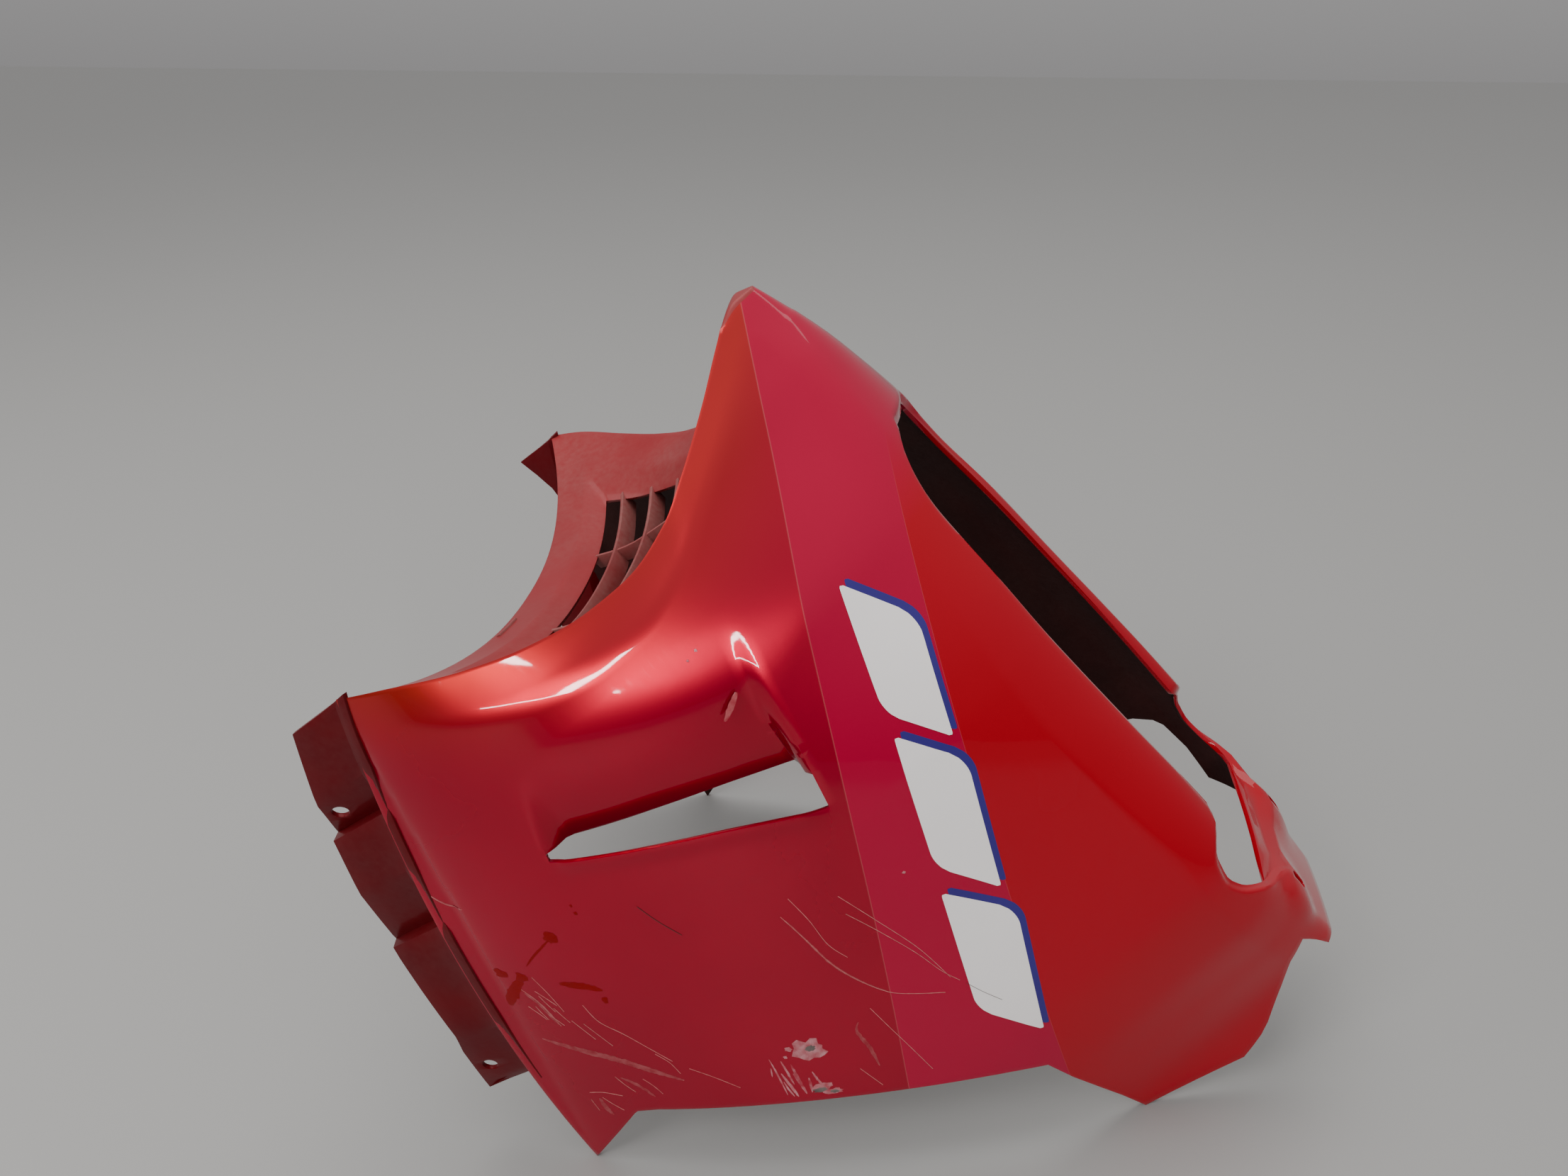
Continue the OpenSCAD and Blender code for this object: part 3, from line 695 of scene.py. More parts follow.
class Materials:
    """Makes the procedural materials, one for each finish."""

    def __init__(self, sizes: Sizes) -> None:
        """Builds every material.

        Args:
            sizes: Real sizes, for the turn and the shift of the patterns.
        """
        self.sizes = sizes
        self.made: Dict[Coat, bpy.types.Material] = {f.coat: self._make(f) for f in FINISHES}

    def __getitem__(self, coat: Coat) -> bpy.types.Material:
        """The material of a surface kind."""
        return self.made[coat]

    @staticmethod
    def _math(
        tree: bpy.types.NodeTree,
        op: str,
        a: Value,
        b: Optional[Value] = None,
        c: Optional[Value] = None,
        clamped: bool = False,
    ) -> Socket:
        """Adds a math node and returns its output socket.

        Args:
            tree: The node tree.
            op: Operation name.
            a: First input, a socket or a number.
            b: Second input.
            c: Third input.
            clamped: True to keep the result from 0 to 1.

        Returns:
            The output socket.
        """
        node = tree.nodes.new("ShaderNodeMath")
        node.operation = op
        node.use_clamp = clamped
        for socket, value in zip(node.inputs, (a, b, c)):
            if value is None:
                continue
            if isinstance(value, (int, float)):
                socket.default_value = value
            else:
                tree.links.new(value, socket)
        return node.outputs[0]

    @staticmethod
    def _mix(
        tree: bpy.types.NodeTree, factor: Value, a: Union[Socket, Colour], b: Union[Socket, Colour]
    ) -> Socket:
        """Adds a colour mix and returns its output socket.

        Args:
            tree: The node tree.
            factor: Share of the second colour.
            a: First colour.
            b: Second colour.

        Returns:
            The output socket.
        """
        node = tree.nodes.new("ShaderNodeMix")
        node.data_type = "RGBA"
        for socket, value in ((node.inputs["Factor"], factor), (node.inputs[6], a), (node.inputs[7], b)):
            if isinstance(value, tuple):
                socket.default_value = (*value, 1.0)
            elif isinstance(value, (int, float)):
                socket.default_value = value
            else:
                tree.links.new(value, socket)
        return node.outputs[2]

    @staticmethod
    def _noise(
        tree: bpy.types.NodeTree,
        coords: Socket,
        scale: float,
        detail: float = 5.0,
        stretch: Optional[Point] = None,
    ) -> Socket:
        """Adds a noise texture and returns its value socket.

        Args:
            tree: The node tree.
            coords: Place on the surface.
            scale: How fine the pattern is.
            detail: How many finer layers it has.
            stretch: Scale along each axis, for a brushed pattern.

        Returns:
            The output socket.
        """
        if stretch is not None:
            turn = tree.nodes.new("ShaderNodeMapping")
            turn.inputs["Scale"].default_value = stretch
            turn.inputs["Rotation"].default_value = (0.0, Pattern().brush_turn, 0.0)
            tree.links.new(coords, turn.inputs["Vector"])
            coords = turn.outputs["Vector"]
        node = tree.nodes.new("ShaderNodeTexNoise")
        node.inputs["Scale"].default_value = scale
        node.inputs["Detail"].default_value = detail
        tree.links.new(coords, node.inputs["Vector"])
        return node.outputs[0]

    def _own_frame(self, tree: bpy.types.NodeTree) -> Socket:
        """Object coordinates turned back into the fairing's own frame, in metres."""
        coords = tree.nodes.new("ShaderNodeTexCoord")
        turn = tree.nodes.new("ShaderNodeMapping")
        turn.vector_type = "POINT"
        a = math.radians(-self.sizes.stand_a)
        back = Matrix.Rotation(a, 3, "Y") @ Vector((self.sizes.shift_x, 0.0, self.sizes.shift_z)) * MM
        turn.inputs["Location"].default_value = back
        turn.inputs["Rotation"].default_value = (0.0, a, 0.0)
        tree.links.new(coords.outputs["Object"], turn.inputs["Vector"])
        return turn.outputs["Vector"]

    def _film(self, tree: bpy.types.NodeTree, own: Socket) -> Tuple[Socket, Socket, Socket]:
        """Masks of the decal film, of its cut edges and of the bare red beyond it.

        Args:
            tree: The node tree.
            own: Socket with the place in the fairing's own frame.

        Returns:
            Three sockets: 1 on the lighter red, 1 along the film's edges, and 1 beyond the film.
        """
        m, f = self._math, FilmLines()
        parts = tree.nodes.new("ShaderNodeSeparateXYZ")
        tree.links.new(own, parts.inputs[0])
        s = m(tree, "MULTIPLY", parts.outputs[0], -1.0)
        lead = m(tree, "SUBTRACT", s, f.lead)
        line = m(tree, "MULTIPLY_ADD", lead, f.slope, f.rise)
        bend = m(tree, "MULTIPLY", m(tree, "MULTIPLY", lead, m(tree, "SUBTRACT", s, f.bend_end)), f.bend)
        above = m(tree, "SUBTRACT", parts.outputs[2], m(tree, "ADD", line, bend))
        film = m(tree, "MULTIPLY_ADD", above, -f.crisp, 0.5, clamped=True)
        off = m(tree, "MULTIPLY", m(tree, "ABSOLUTE", above), f.edge_thin)
        edge = m(tree, "SUBTRACT", 1.0, off, clamped=True)
        margin = m(tree, "SUBTRACT", parts.outputs[2], m(tree, "MULTIPLY_ADD", s, f.low_slope, f.low_rise))
        off = m(tree, "MULTIPLY", m(tree, "ABSOLUTE", margin), f.low_edge_thin)
        thin = m(tree, "SUBTRACT", f.low_edge_share, off, clamped=True)
        fade = m(tree, "MULTIPLY_ADD", s, f.fade, f.fade_from, clamped=True)
        below = m(tree, "MULTIPLY_ADD", margin, -f.crisp, 0.5, clamped=True)
        edges = m(tree, "MAXIMUM", edge, m(tree, "MULTIPLY", thin, fade))
        return film, edges, m(tree, "MULTIPLY", below, fade)

    def _painted(
        self, tree: bpy.types.NodeTree, own: Socket, wide: Socket, colour: Socket, metal: float
    ) -> Tuple[Socket, Socket]:
        """Adds a painted copper highlight along the ridge, and the decal film, to the paint.

        Args:
            tree: The node tree.
            own: Socket with the place in the fairing's own frame.
            wide: Broad cloud pattern.
            colour: Colour of the plain paint.
            metal: Metal share of the plain paint.

        Returns:
            Sockets with the colour and with the metal share.
        """
        m, r = self._math, PaintedRidgeGlow()
        parts = tree.nodes.new("ShaderNodeSeparateXYZ")
        tree.links.new(own, parts.inputs[0])
        # Painted highlight: copper glow on the ridge that fades back from it, standing in for the light the
        # paint catches there
        level = m(tree, "MULTIPLY_ADD", parts.outputs[2], r.height_scale, r.height_shift)
        ridge = m(tree, "MULTIPLY_ADD", m(tree, "MULTIPLY", level, level), r.depth, r.shift)
        behind = m(tree, "SUBTRACT", ridge, parts.outputs[0])
        front = m(tree, "MULTIPLY_ADD", behind, -r.falloff, 1.0, clamped=True)
        front = m(tree, "MULTIPLY", front, m(tree, "MULTIPLY_ADD", wide, r.cloud, 1 - r.cloud))
        colour = self._mix(tree, m(tree, "POWER", front, r.power), colour, PAINTED_RIDGE_GLOW)
        film, edge, beyond = self._film(tree, own)
        red = self._mix(tree, wide, FILM_RED[0], FILM_RED[1])
        red = self._mix(tree, beyond, red, REAR_RED)
        colour = self._mix(tree, film, colour, red)
        colour = self._mix(tree, m(tree, "MULTIPLY", edge, FilmLines().edge_show), colour, FILM_EDGE)
        return colour, m(tree, "MULTIPLY_ADD", film, -metal, metal)

    def _make(self, f: Finish) -> bpy.types.Material:
        """Builds one material.

        Args:
            f: Its finish.

        Returns:
            The material.
        """
        mat = bpy.data.materials.new(f.coat.value)
        mat.use_nodes = True
        tree = mat.node_tree
        tree.nodes.clear()
        out = tree.nodes.new("ShaderNodeOutputMaterial")
        bsdf = tree.nodes.new("ShaderNodeBsdfPrincipled")
        tree.links.new(bsdf.outputs[0], out.inputs[0])
        m, n = self._math, Pattern()
        own = self._own_frame(tree)
        cloud = self._noise(tree, own, f.grain)
        cloud = m(tree, "SUBTRACT", cloud, 0.5)
        wide = m(tree, "MULTIPLY_ADD", cloud, n.cloud_gain * f.contrast, 0.5, clamped=True)
        colour = self._mix(tree, wide, f.base, f.second)
        rough = m(tree, "MULTIPLY_ADD", wide, n.rough_spread, f.rough - n.rough_drop)
        bsdf.inputs["Metallic"].default_value = f.metal
        if f.coat is Coat.PAINT:
            colour, metal = self._painted(tree, own, wide, colour, f.metal)
            tree.links.new(metal, bsdf.inputs["Metallic"])
        if f.dusty > 0:
            fall = self._noise(tree, own, n.dust_broad, 6.0)
            fine = self._noise(tree, own, n.dust_fine, 3.0)
            fall = m(tree, "MULTIPLY_ADD", fall, n.dust_gain, n.dust_cut, clamped=True)
            veil = m(tree, "MULTIPLY", m(tree, "MULTIPLY", fall, fine), 2 * f.dusty, clamped=True)
            colour = self._mix(tree, veil, colour, f.dust)
            rough = m(tree, "MULTIPLY_ADD", veil, n.dust_rough, rough, clamped=True)
        tree.links.new(colour, bsdf.inputs["Base Color"])
        tree.links.new(rough, bsdf.inputs["Roughness"])
        bsdf.inputs["Specular IOR Level"].default_value = f.gleam
        bsdf.inputs["Coat Weight"].default_value = f.clear
        bsdf.inputs["Coat IOR"].default_value = n.coat_ior
        if f.clear > n.lacquer_from:
            haze = self._noise(tree, own, n.haze, 4.0)
            lines = self._noise(tree, own, n.brush, 4.0, stretch=n.brush_stretch)
            lines = m(tree, "MULTIPLY_ADD", lines, n.brush_gain, n.brush_cut, clamped=True)
            swirl = m(tree, "MULTIPLY", haze, lines)
            hazy = m(tree, "MULTIPLY_ADD", swirl, n.brush_rough, n.coat_least_rough)
            tree.links.new(hazy, bsdf.inputs["Coat Roughness"])
        else:
            bsdf.inputs["Coat Roughness"].default_value = n.coat_rough
        bump = tree.nodes.new("ShaderNodeBump")
        bump.inputs["Strength"].default_value = min(1.0, f.bump * n.bump_gain)
        bump.inputs["Distance"].default_value = n.bump_reach
        tree.links.new(self._noise(tree, own, f.grain * n.bump_fine, 6.0), bump.inputs["Height"])
        tree.links.new(bump.outputs[0], bsdf.inputs["Normal"])
        return mat


@dataclass
class Grid:
    """Rows and columns of points that share their middle line with the mirrored half."""

    verts: List[Point] = field(default_factory=list)
    faces: Faces = field(default_factory=list)
    zones: List[int] = field(default_factory=list)


def spread(stops: Sequence[float], step: float) -> List[float]:
    """Evenly filled values through every stop.

    Args:
        stops: Values that must be kept, in order.
        step: Largest gap.

    Returns:
        The filled list.
    """
    out: List[float] = []
    for a, b in zip(stops, stops[1:]):
        n = max(1, math.ceil(abs(b - a) / step - 1e-9))
        out += [along(a, b, i / n) for i in range(n)]
    return out + [stops[-1]]


class Sheet:
    """Outer skin of the shell, both halves, as one open surface."""

    BASE_ROW = 0.04
    ROW_GAP = 0.0125
    KEEL_GAP = 0.075
    REAR_GAP = 0.0165
    SCOOP_GAP = 0.034
    FRONT_GAP = 0.022
    ARCH_GAP = 0.05

    def __init__(self, shape: Shape) -> None:
        """Lays out rows and columns.

        Args:
            shape: The surfaces.
        """
        self.shape = shape
        s = shape.s
        stops = [1, GRILLE[0], GRILLE[1], s.vent_high, GRILLE[2], GRILLE[3], s.vent_low, 0.2, 0.16, 0]
        self.rows = spread(stops, self.ROW_GAP)
        self.keel = spread([0, 0.25, 0.5, 0.86, 1], self.KEEL_GAP)[1:]
        self.middle = [0.66, 0.33, 0]
        rear = spread([0, 0.44, 0.533, 0.605, 0.704, STRAP_FROM, 1], self.REAR_GAP)
        lip = [0, 0.25, 0.5, 0.75]
        scoop = spread([0, 1], self.SCOOP_GAP)[:-1]
        front = [0, 0.03, 0.06] + spread([0.1, 0.36, 1], self.FRONT_GAP)[:-1]
        forward = [(k, q) for k, zone in enumerate((front, scoop, lip, rear)) for q in zone]
        self.cols = forward[::-1]
        self.arch = spread([0.97, 0.9, 0.8, BEVEL_SIDE, GRILLE_SIDE, 0.3, 0], self.ARCH_GAP)
        self.n_wall = len(self.rows) - 1
        self.rim_row = self.n_wall + len(self.keel)
        self.n_rows = self.rim_row + len(self.middle)
        self.n_side = len(self.cols) - 1
        self.n_cols = self.n_side + len(self.arch)
        self.foot_cache: Dict[float, Place] = {}

    def _foot(self, x: float) -> Place:
        """Foot of the wall, remembered."""
        if x not in self.foot_cache:
            self.foot_cache[x] = self.shape.foot(x)
        return self.foot_cache[x]

    def wall_point(self, i: int, j: int) -> Point:
        """Point of the side wall before the scoop."""
        sh, v, c = self.shape, self.rows[i], self.cols[j]
        x = sh.col_x(v, c)
        if i == self.n_wall:
            y, z = self._foot(x)
            return x, -y, z
        z = sh.row_z(v, x)
        if v < self.BASE_ROW:
            z = along(self._foot(x)[1], sh.row_z(self.BASE_ROW, x), v / self.BASE_ROW)
        return x, sh.scoop(v, c) - sh.wall_y(x, z, sh.ridge(v)[0] - x), z

    def keel_point(self, i: int, j: int) -> Point:
        """Point of the underside."""
        sh, c = self.shape, self.cols[j]
        k = i - self.n_wall
        share = clamp(k / len(self.keel), 0, 1) if k > len(self.keel) else self.keel[k - 1]
        x = sh.col_x(0, c)
        if c[0] == 3 and c[1] > STRAP_FROM:
            near = sh.col_x(0, (3, STRAP_FROM))
            x = along(near, sh.t["strap"](min(share, 1.0)), (c[1] - STRAP_FROM) / (1 - STRAP_FROM))
        foot_y, _ = self._foot(x)
        if k <= len(self.keel):
            y = along(foot_y, sh.rim(x), share)
        else:
            y = sh.rim(x) * self.middle[k - len(self.keel) - 1]
        z = sh.bottom_z(x, y) - sh.pad(x, y) + self._turn(x, y)
        if j == self.n_side:
            x = x * y / foot_y
        return x, -y, z

    def _turn(self, x: float, y: float) -> float:
        """Turn-in round the keel slot."""
        s = self.shape.s
        away = max(0.0, y - self.shape.rim(x), x - s.slot_front_x, s.slot_rear_x - x)
        return s.rim_turn * (1 - ease(away / s.rim_reach))

    def arch_point(self, i: int, j: int) -> Point:
        """Point of the front arch, with the bevel of its opening."""
        sh = self.shape
        q = self.arch[j - self.n_side - 1]
        r = self.wall_point(i, self.n_side) if i <= self.n_wall else self.keel_point(i, self.n_side)
        if i > self.n_wall:
            t = (i - self.n_wall) / (self.n_rows - self.n_wall)
            foot_z = self._foot(sh.col_x(0, (0, 0.0)))[1]
            a = (along(sh.arch_mid_x(foot_z), 0.0, t), 0.0, along(foot_z, sh.t["keel_z"](0), t))
            return tuple(along(a[n], r[n], q) for n in range(3))
        x = sh.arch_x(r[0], -r[1], r[1] * q, r[2])
        v = self.rows[i]
        side = clamp((BEVEL_SIDE - q) / (BEVEL_SIDE - GRILLE_SIDE), 0, 1)
        top = clamp((GRILLE[0] - v) / (GRILLE[0] - GRILLE[1]), 0, 1)
        low = clamp((v - GRILLE[3]) / (GRILLE[2] - GRILLE[3]), 0, 1)
        return x - sh.s.bevel_depth * min(side, top, low), r[1] * q, r[2]

    def point(self, i: int, j: int) -> Point:
        """Point of the skin at a row and a column."""
        if j > self.n_side:
            return self.arch_point(i, j)
        return self.wall_point(i, j) if i <= self.n_wall else self.keel_point(i, j)

    def is_open(self, i: int, j: int) -> bool:
        """True where the skin has a hole: vent slot, keel slot or louvred opening."""
        s = self.shape.s
        c = self.cols[j] if j < len(self.cols) else (0, 1.0)
        after = self.cols[j + 1] if j + 1 < len(self.cols) else (0, 1.0)
        if i < self.n_wall:
            v, w = self.rows[i], self.rows[i + 1]
            if v < s.vent_high + TINY and w > s.vent_low - TINY and (after[0] == 2 or c == (2, 0)):
                return j < self.n_side
            inside = v < GRILLE[1] + TINY and w > GRILLE[2] - TINY
            return inside and j > self.n_side and self.arch[j - self.n_side - 1] < GRILLE_SIDE + TINY
        if i < self.rim_row or j >= self.n_side:
            return False
        behind = c[0] == 3 and c[1] > STRAP_FROM + TINY
        return not behind and after[0] != 0

    def build(self) -> Grid:
        """Makes the grid of both halves.

        Returns:
            Points, faces and the zone of each face: 0 outside paint, 1 arch.
        """
        out = Grid()
        number: Dict[Tuple[int, int, bool], int] = {}

        def index(i: int, j: int, left: bool) -> int:
            """Number of the point at a row and a column, made when first asked for."""
            if i == self.n_rows and j >= self.n_side:
                i, j = self.n_rows, self.n_side
            middle = i == self.n_rows or j == self.n_cols
            key = (i, j, left and not middle)
            if key not in number:
                p = self.point(i, j)
                y = 0.0 if middle else (-p[1] if left else p[1])
                number[key] = len(out.verts)
                out.verts.append((p[0], y, p[2]))
            return number[key]

        for i in range(self.n_rows):
            for j in range(self.n_cols):
                if self.is_open(i, j):
                    continue
                for left in (False, True):
                    ring = ((i, j), (i, j + 1), (i + 1, j + 1), (i + 1, j))
                    quad = list(dict.fromkeys(index(a, b, left) for a, b in ring))
                    if len(quad) < 3:
                        continue
                    if not left:
                        quad.reverse()
                    out.faces.append(tuple(quad))
                    out.zones.append(1 if j >= self.n_side else 0)
        return out


class Scratches:
    """Geometry Nodes group that sweeps fine lines along paths."""

    SEED = 7
    POINTS = 36
    SIDES = 5
    THINNEST = 0.35

    def __init__(self) -> None:
        """Builds the node group with its named inputs."""
        tree = bpy.data.node_groups.new("scratch_sweep", "GeometryNodeTree")
        face = tree.interface
        face.new_socket("Geometry", in_out="INPUT", socket_type="NodeSocketGeometry")
        self.width = face.new_socket("Line Radius", in_out="INPUT", socket_type="NodeSocketFloat")
        self.width.default_value = 0.2 * MM
        seed = face.new_socket("Seed", in_out="INPUT", socket_type="NodeSocketInt")
        seed.default_value = self.SEED
        self.finish = face.new_socket("Finish", in_out="INPUT", socket_type="NodeSocketMaterial")
        face.new_socket("Geometry", in_out="OUTPUT", socket_type="NodeSocketGeometry")
        new, link = tree.nodes.new, tree.links.new
        start, end = new("NodeGroupInput"), new("NodeGroupOutput")
        curve = new("GeometryNodeMeshToCurve")
        finer = new("GeometryNodeResampleCurve")
        finer.mode = "COUNT"
        finer.inputs["Count"].default_value = self.POINTS
        shake = new("FunctionNodeRandomValue")
        shake.data_type = "FLOAT"
        shake.inputs[2].default_value = self.THINNEST
        shake.inputs[3].default_value = 1.0
        radius = new("GeometryNodeSetCurveRadius")
        ring = new("GeometryNodeCurvePrimitiveCircle")
        ring.inputs["Resolution"].default_value = self.SIDES
        sweep = new("GeometryNodeCurveToMesh")
        real = new("GeometryNodeRealizeInstances")
        paint = new("GeometryNodeSetMaterial")
        link(start.outputs["Geometry"], curve.inputs[0])
        link(curve.outputs[0], finer.inputs["Curve"])
        link(start.outputs["Seed"], shake.inputs["Seed"])
        link(finer.outputs[0], radius.inputs[0])
        link(shake.outputs[1], radius.inputs["Radius"])
        link(start.outputs["Line Radius"], ring.inputs["Radius"])
        link(radius.outputs[0], sweep.inputs["Curve"])
        link(ring.outputs[0], sweep.inputs["Profile Curve"])
        link(sweep.outputs[0], real.inputs[0])
        link(real.outputs[0], paint.inputs["Geometry"])
        link(start.outputs["Finish"], paint.inputs["Material"])
        link(paint.outputs[0], end.inputs[0])
        self.tree = tree


@dataclass
class Workshop:
    """What every sub-assembly shares: sizes, surfaces, the stand, materials and tools."""

    s: Sizes
    shape: Shape
    stand: Stand
    materials: Materials

    @staticmethod
    def join_parts(parts: Sequence[Part]) -> Part:
        """Joins several meshes' points and faces into one."""
        verts: List[Point] = []
        faces: Faces = []
        for points, polys in parts:
            start = len(verts)
            verts += list(points)
            faces += [tuple(start + k for k in f) for f in polys]
        return verts, faces

    def mesh_object(
        self, name: str, part: Part, coats: Sequence[Coat], zones: Optional[Sequence[int]] = None
    ) -> bpy.types.Object:
        """Makes a mesh object in the row frame.

        Args:
            name: Object name.
            part: Points in the fairing's own frame, in millimetres, and outward faces.
            coats: Material of each slot.
            zones: Slot of each face.

        Returns:
            The object.
        """
        mesh = bpy.data.meshes.new(name)
        mesh.from_pydata([self.stand.point(p) for p in part[0]], [], [tuple(f) for f in part[1]])
        for coat in coats:
            mesh.materials.append(self.materials[coat])
        if zones is not None:
            mesh.polygons.foreach_set("material_index", zones)
        mesh.update()
        obj = bpy.data.objects.new(name, mesh)
        bpy.context.scene.collection.objects.link(obj)
        return obj

    def apply(self, obj: bpy.types.Object, angle: float = 40.0) -> bpy.types.Object:
        """Turns an object's modifiers into its mesh and shades it smooth.

        Args:
            obj: The object.
            angle: Edges sharper than this stay sharp, in degrees.

        Returns:
            The same object.
        """
        graph = bpy.context.evaluated_depsgraph_get()
        mesh = bpy.data.meshes.new_from_object(obj.evaluated_get(graph))
        mesh.name = obj.name
        obj.modifiers.clear()
        obj.data = mesh
        mesh.shade_smooth()
        mesh.set_sharp_from_angle(angle=math.radians(angle))
        return obj

    def join_ride(self, obj: bpy.types.Object) -> None:
        """Keeps a piece inside the CAD box and ties it to the body."""
        low, high = START_BOX
        for vertex in obj.data.vertices:
            vertex.co = [clamp(vertex.co[k], low[k], high[k]) for k in range(3)]
        obj.data.update()
        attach(obj, BODY)

    @staticmethod
    def turn_outward(obj: bpy.types.Object) -> None:
        """Turns the faces of closed pieces outward."""
        bm = bmesh.new()
        bm.from_mesh(obj.data)
        bmesh.ops.recalc_face_normals(bm, faces=bm.faces)
        bm.to_mesh(obj.data)
        bm.free()

    def thicken(self, obj: bpy.types.Object, inner: int = 0) -> None:
        """Adds wall thickness inwards.

        Args:
            obj: The open skin.
            inner: How many material slots further the inner side lies.
        """
        mod = obj.modifiers.new("wall", "SOLIDIFY")
        mod.thickness = self.s.wall * MM
        mod.offset = -1.0
        mod.use_even_offset = False
        mod.thickness_clamp = 0.0
        mod.material_offset = inner

    @staticmethod
    def round_edges(obj: bpy.types.Object, width: float = 0.7, angle: float = 50.0) -> None:
        """Adds small rounded edges.

        Args:
            obj: The object.
            width: Width of the rounding, in millimetres.
            angle: Edges sharper than this are rounded, in degrees.
        """
        mod = obj.modifiers.new("edges", "BEVEL")
        mod.width = width * MM
        mod.segments = 2
        mod.limit_method = "ANGLE"
        mod.angle_limit = math.radians(angle)
        mod.use_clamp_overlap = True
        mod.harden_normals = False

    @staticmethod
    def prism(outline: Sequence[Point], push: Point) -> Part:
        """Closed prism from an outline and a push direction."""
        n = len(outline)
        verts = list(outline) + [tuple(p[k] + push[k] for k in range(3)) for p in outline]
        faces: Faces = [tuple(range(n)), tuple(range(2 * n - 1, n - 1, -1))]
        faces += [(k, (k + 1) % n, n + (k + 1) % n, n + k) for k in range(n)]
        return verts, faces

    def rod(self, centre: Point, axis: Point, radius: float, length: float, stretch: float = 0.0) -> Part:
        """Closed cylinder, or a slotted one, as a cutting piece.

        Args:
            centre: Its middle.
            axis: Its direction.
            radius: Its radius.
            length: Its length.
            stretch: Straight run between the two halves of a slotted one.

        Returns:
            Points and faces.
        """
        sides = 32
        a = Vector(axis).normalized()
        u = Vector((1.0, 0.0, 0.0)) if abs(a.x) < 0.9 else Vector((0.0, 0.0, 1.0))
        u = (u - a * u.dot(a)).normalized()
        w = a.cross(u)
        ring = []
        for k in range(sides):
            t = 2 * math.pi * (k + 0.5) / sides
            push = stretch / 2 * (1 if math.cos(t) > 0 else -1)
            p = Vector(centre) - a * length / 2 + u * (radius * math.cos(t) + push) + w * radius * math.sin(t)
            ring.append(tuple(p))
        return self.prism(ring, tuple(a * length))

    def finish_cut(self, obj: bpy.types.Object, parts: Sequence[Part], width: float, angle: float) -> None:
        """Cuts closed pieces out of an object, rounds its edges and ties it to the body.

        Args:
            obj: The object.
            parts: The cutting pieces.
            width: Width of the rounding, in millimetres.
            angle: Edges sharper than this are rounded, in degrees.
        """
        tool = self.mesh_object(f"{obj.name}_cutter", self.join_parts(parts), [Coat.PAINT])
        self.turn_outward(tool)
        mod = obj.modifiers.new("cut", "BOOLEAN")
        mod.operation = "DIFFERENCE"
        mod.solver = "EXACT"
        mod.object = tool
        self.round_edges(obj, width, angle)
        self.apply(obj)
        bpy.data.objects.remove(tool)
        self.join_ride(obj)

    def collect(self, name: str, parts: Sequence[Part], coat: Coat) -> bpy.types.Object:
        """Joins laid-on patches into one piece that faces outward.

        Args:
            name: Name of the piece.
            parts: The patches.
            coat: Finish.

        Returns:
            The piece.
        """
        obj = self.mesh_object(name, self.join_parts(parts), [coat])
        mesh = obj.data
        turned = [p.index for p in mesh.polygons if p.normal.y * (1 if p.center.y > 0 else -1) < 0]
        bm = bmesh.new()
        bm.from_mesh(mesh)
        bm.faces.ensure_lookup_table()
        bmesh.ops.reverse_faces(bm, faces=[bm.faces[k] for k in turned])
        bm.to_mesh(mesh)
        bm.free()
        mesh.shade_smooth()
        self.join_ride(obj)
        return obj


@dataclass
class Shell(Workshop):
    """The main moulding: both walls, the keel with its strap, and the front arch."""

    nose: Point = (2.0, 0.0, 4.0)
    nose_reach: float = 30.0
    nose_passes: int = 18
    side_drill_l: float = 60.0
    side_drill_in: float = 20.0
    strap_drill_z: float = -8.0
    strap_drill_l: float = 34.0
    edge: float = 0.7
    edge_angle: float = 50.0

    def round_nose(self, obj: bpy.types.Object) -> None:
        """Rounds the nose, where both ridges and the keel run together."""
        bm = bmesh.new()
        bm.from_mesh(obj.data)
        nose = self.stand.point(self.nose)
        near = [v for v in bm.verts if (v.co - nose).length < self.nose_reach * MM]
        for _ in range(self.nose_passes):
            axes = {f"use_axis_{axis}": True for axis in "xyz"}
            bmesh.ops.smooth_vert(bm, verts=near, factor=0.5, **axes)
        bm.to_mesh(obj.data)
        bm.free()

    def cuts(self) -> List[Part]:
        """Closed pieces for the side holes, the strap's slots and the lost rear of the left wall."""
        s = self.s
        parts = []
        for side in Side:
            place = (s.side_hole[0], side.value * (s.half_w - self.side_drill_in), s.side_hole[1])
            parts.append(self.rod(place, (0, 1, 0), s.side_hole_d / 2, self.side_drill_l))
            place = (-s.strap_hole_x, side.value * s.strap_hole_y, self.strap_drill_z)
            run = s.strap_hole_l - s.strap_hole_d
            parts.append(self.rod(place, (0, 0, 1), s.strap_hole_d / 2, self.strap_drill_l, run))
        outline = [(x, LEFT_CUT_Y, z) for x, z in LEFT_CUT]
        return parts + [self.prism(outline, (0.0, LEFT_CUT_DEPTH, 0.0))]

    def build(self) -> List[bpy.types.Object]:
        """Makes the moulding, which takes the place of the CAD node."""
        grid = Sheet(self.shape).build()
        coats = [Coat.PAINT, Coat.ARCH, Coat.INSIDE, Coat.INSIDE]
        obj = self.mesh_object("fairing_shell", (grid.verts, grid.faces), coats, grid.zones)
        self.round_nose(obj)
        self.thicken(obj, 2)
        self.finish_cut(obj, self.cuts(), self.edge, self.edge_angle)
        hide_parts(NODE)
        return [obj]


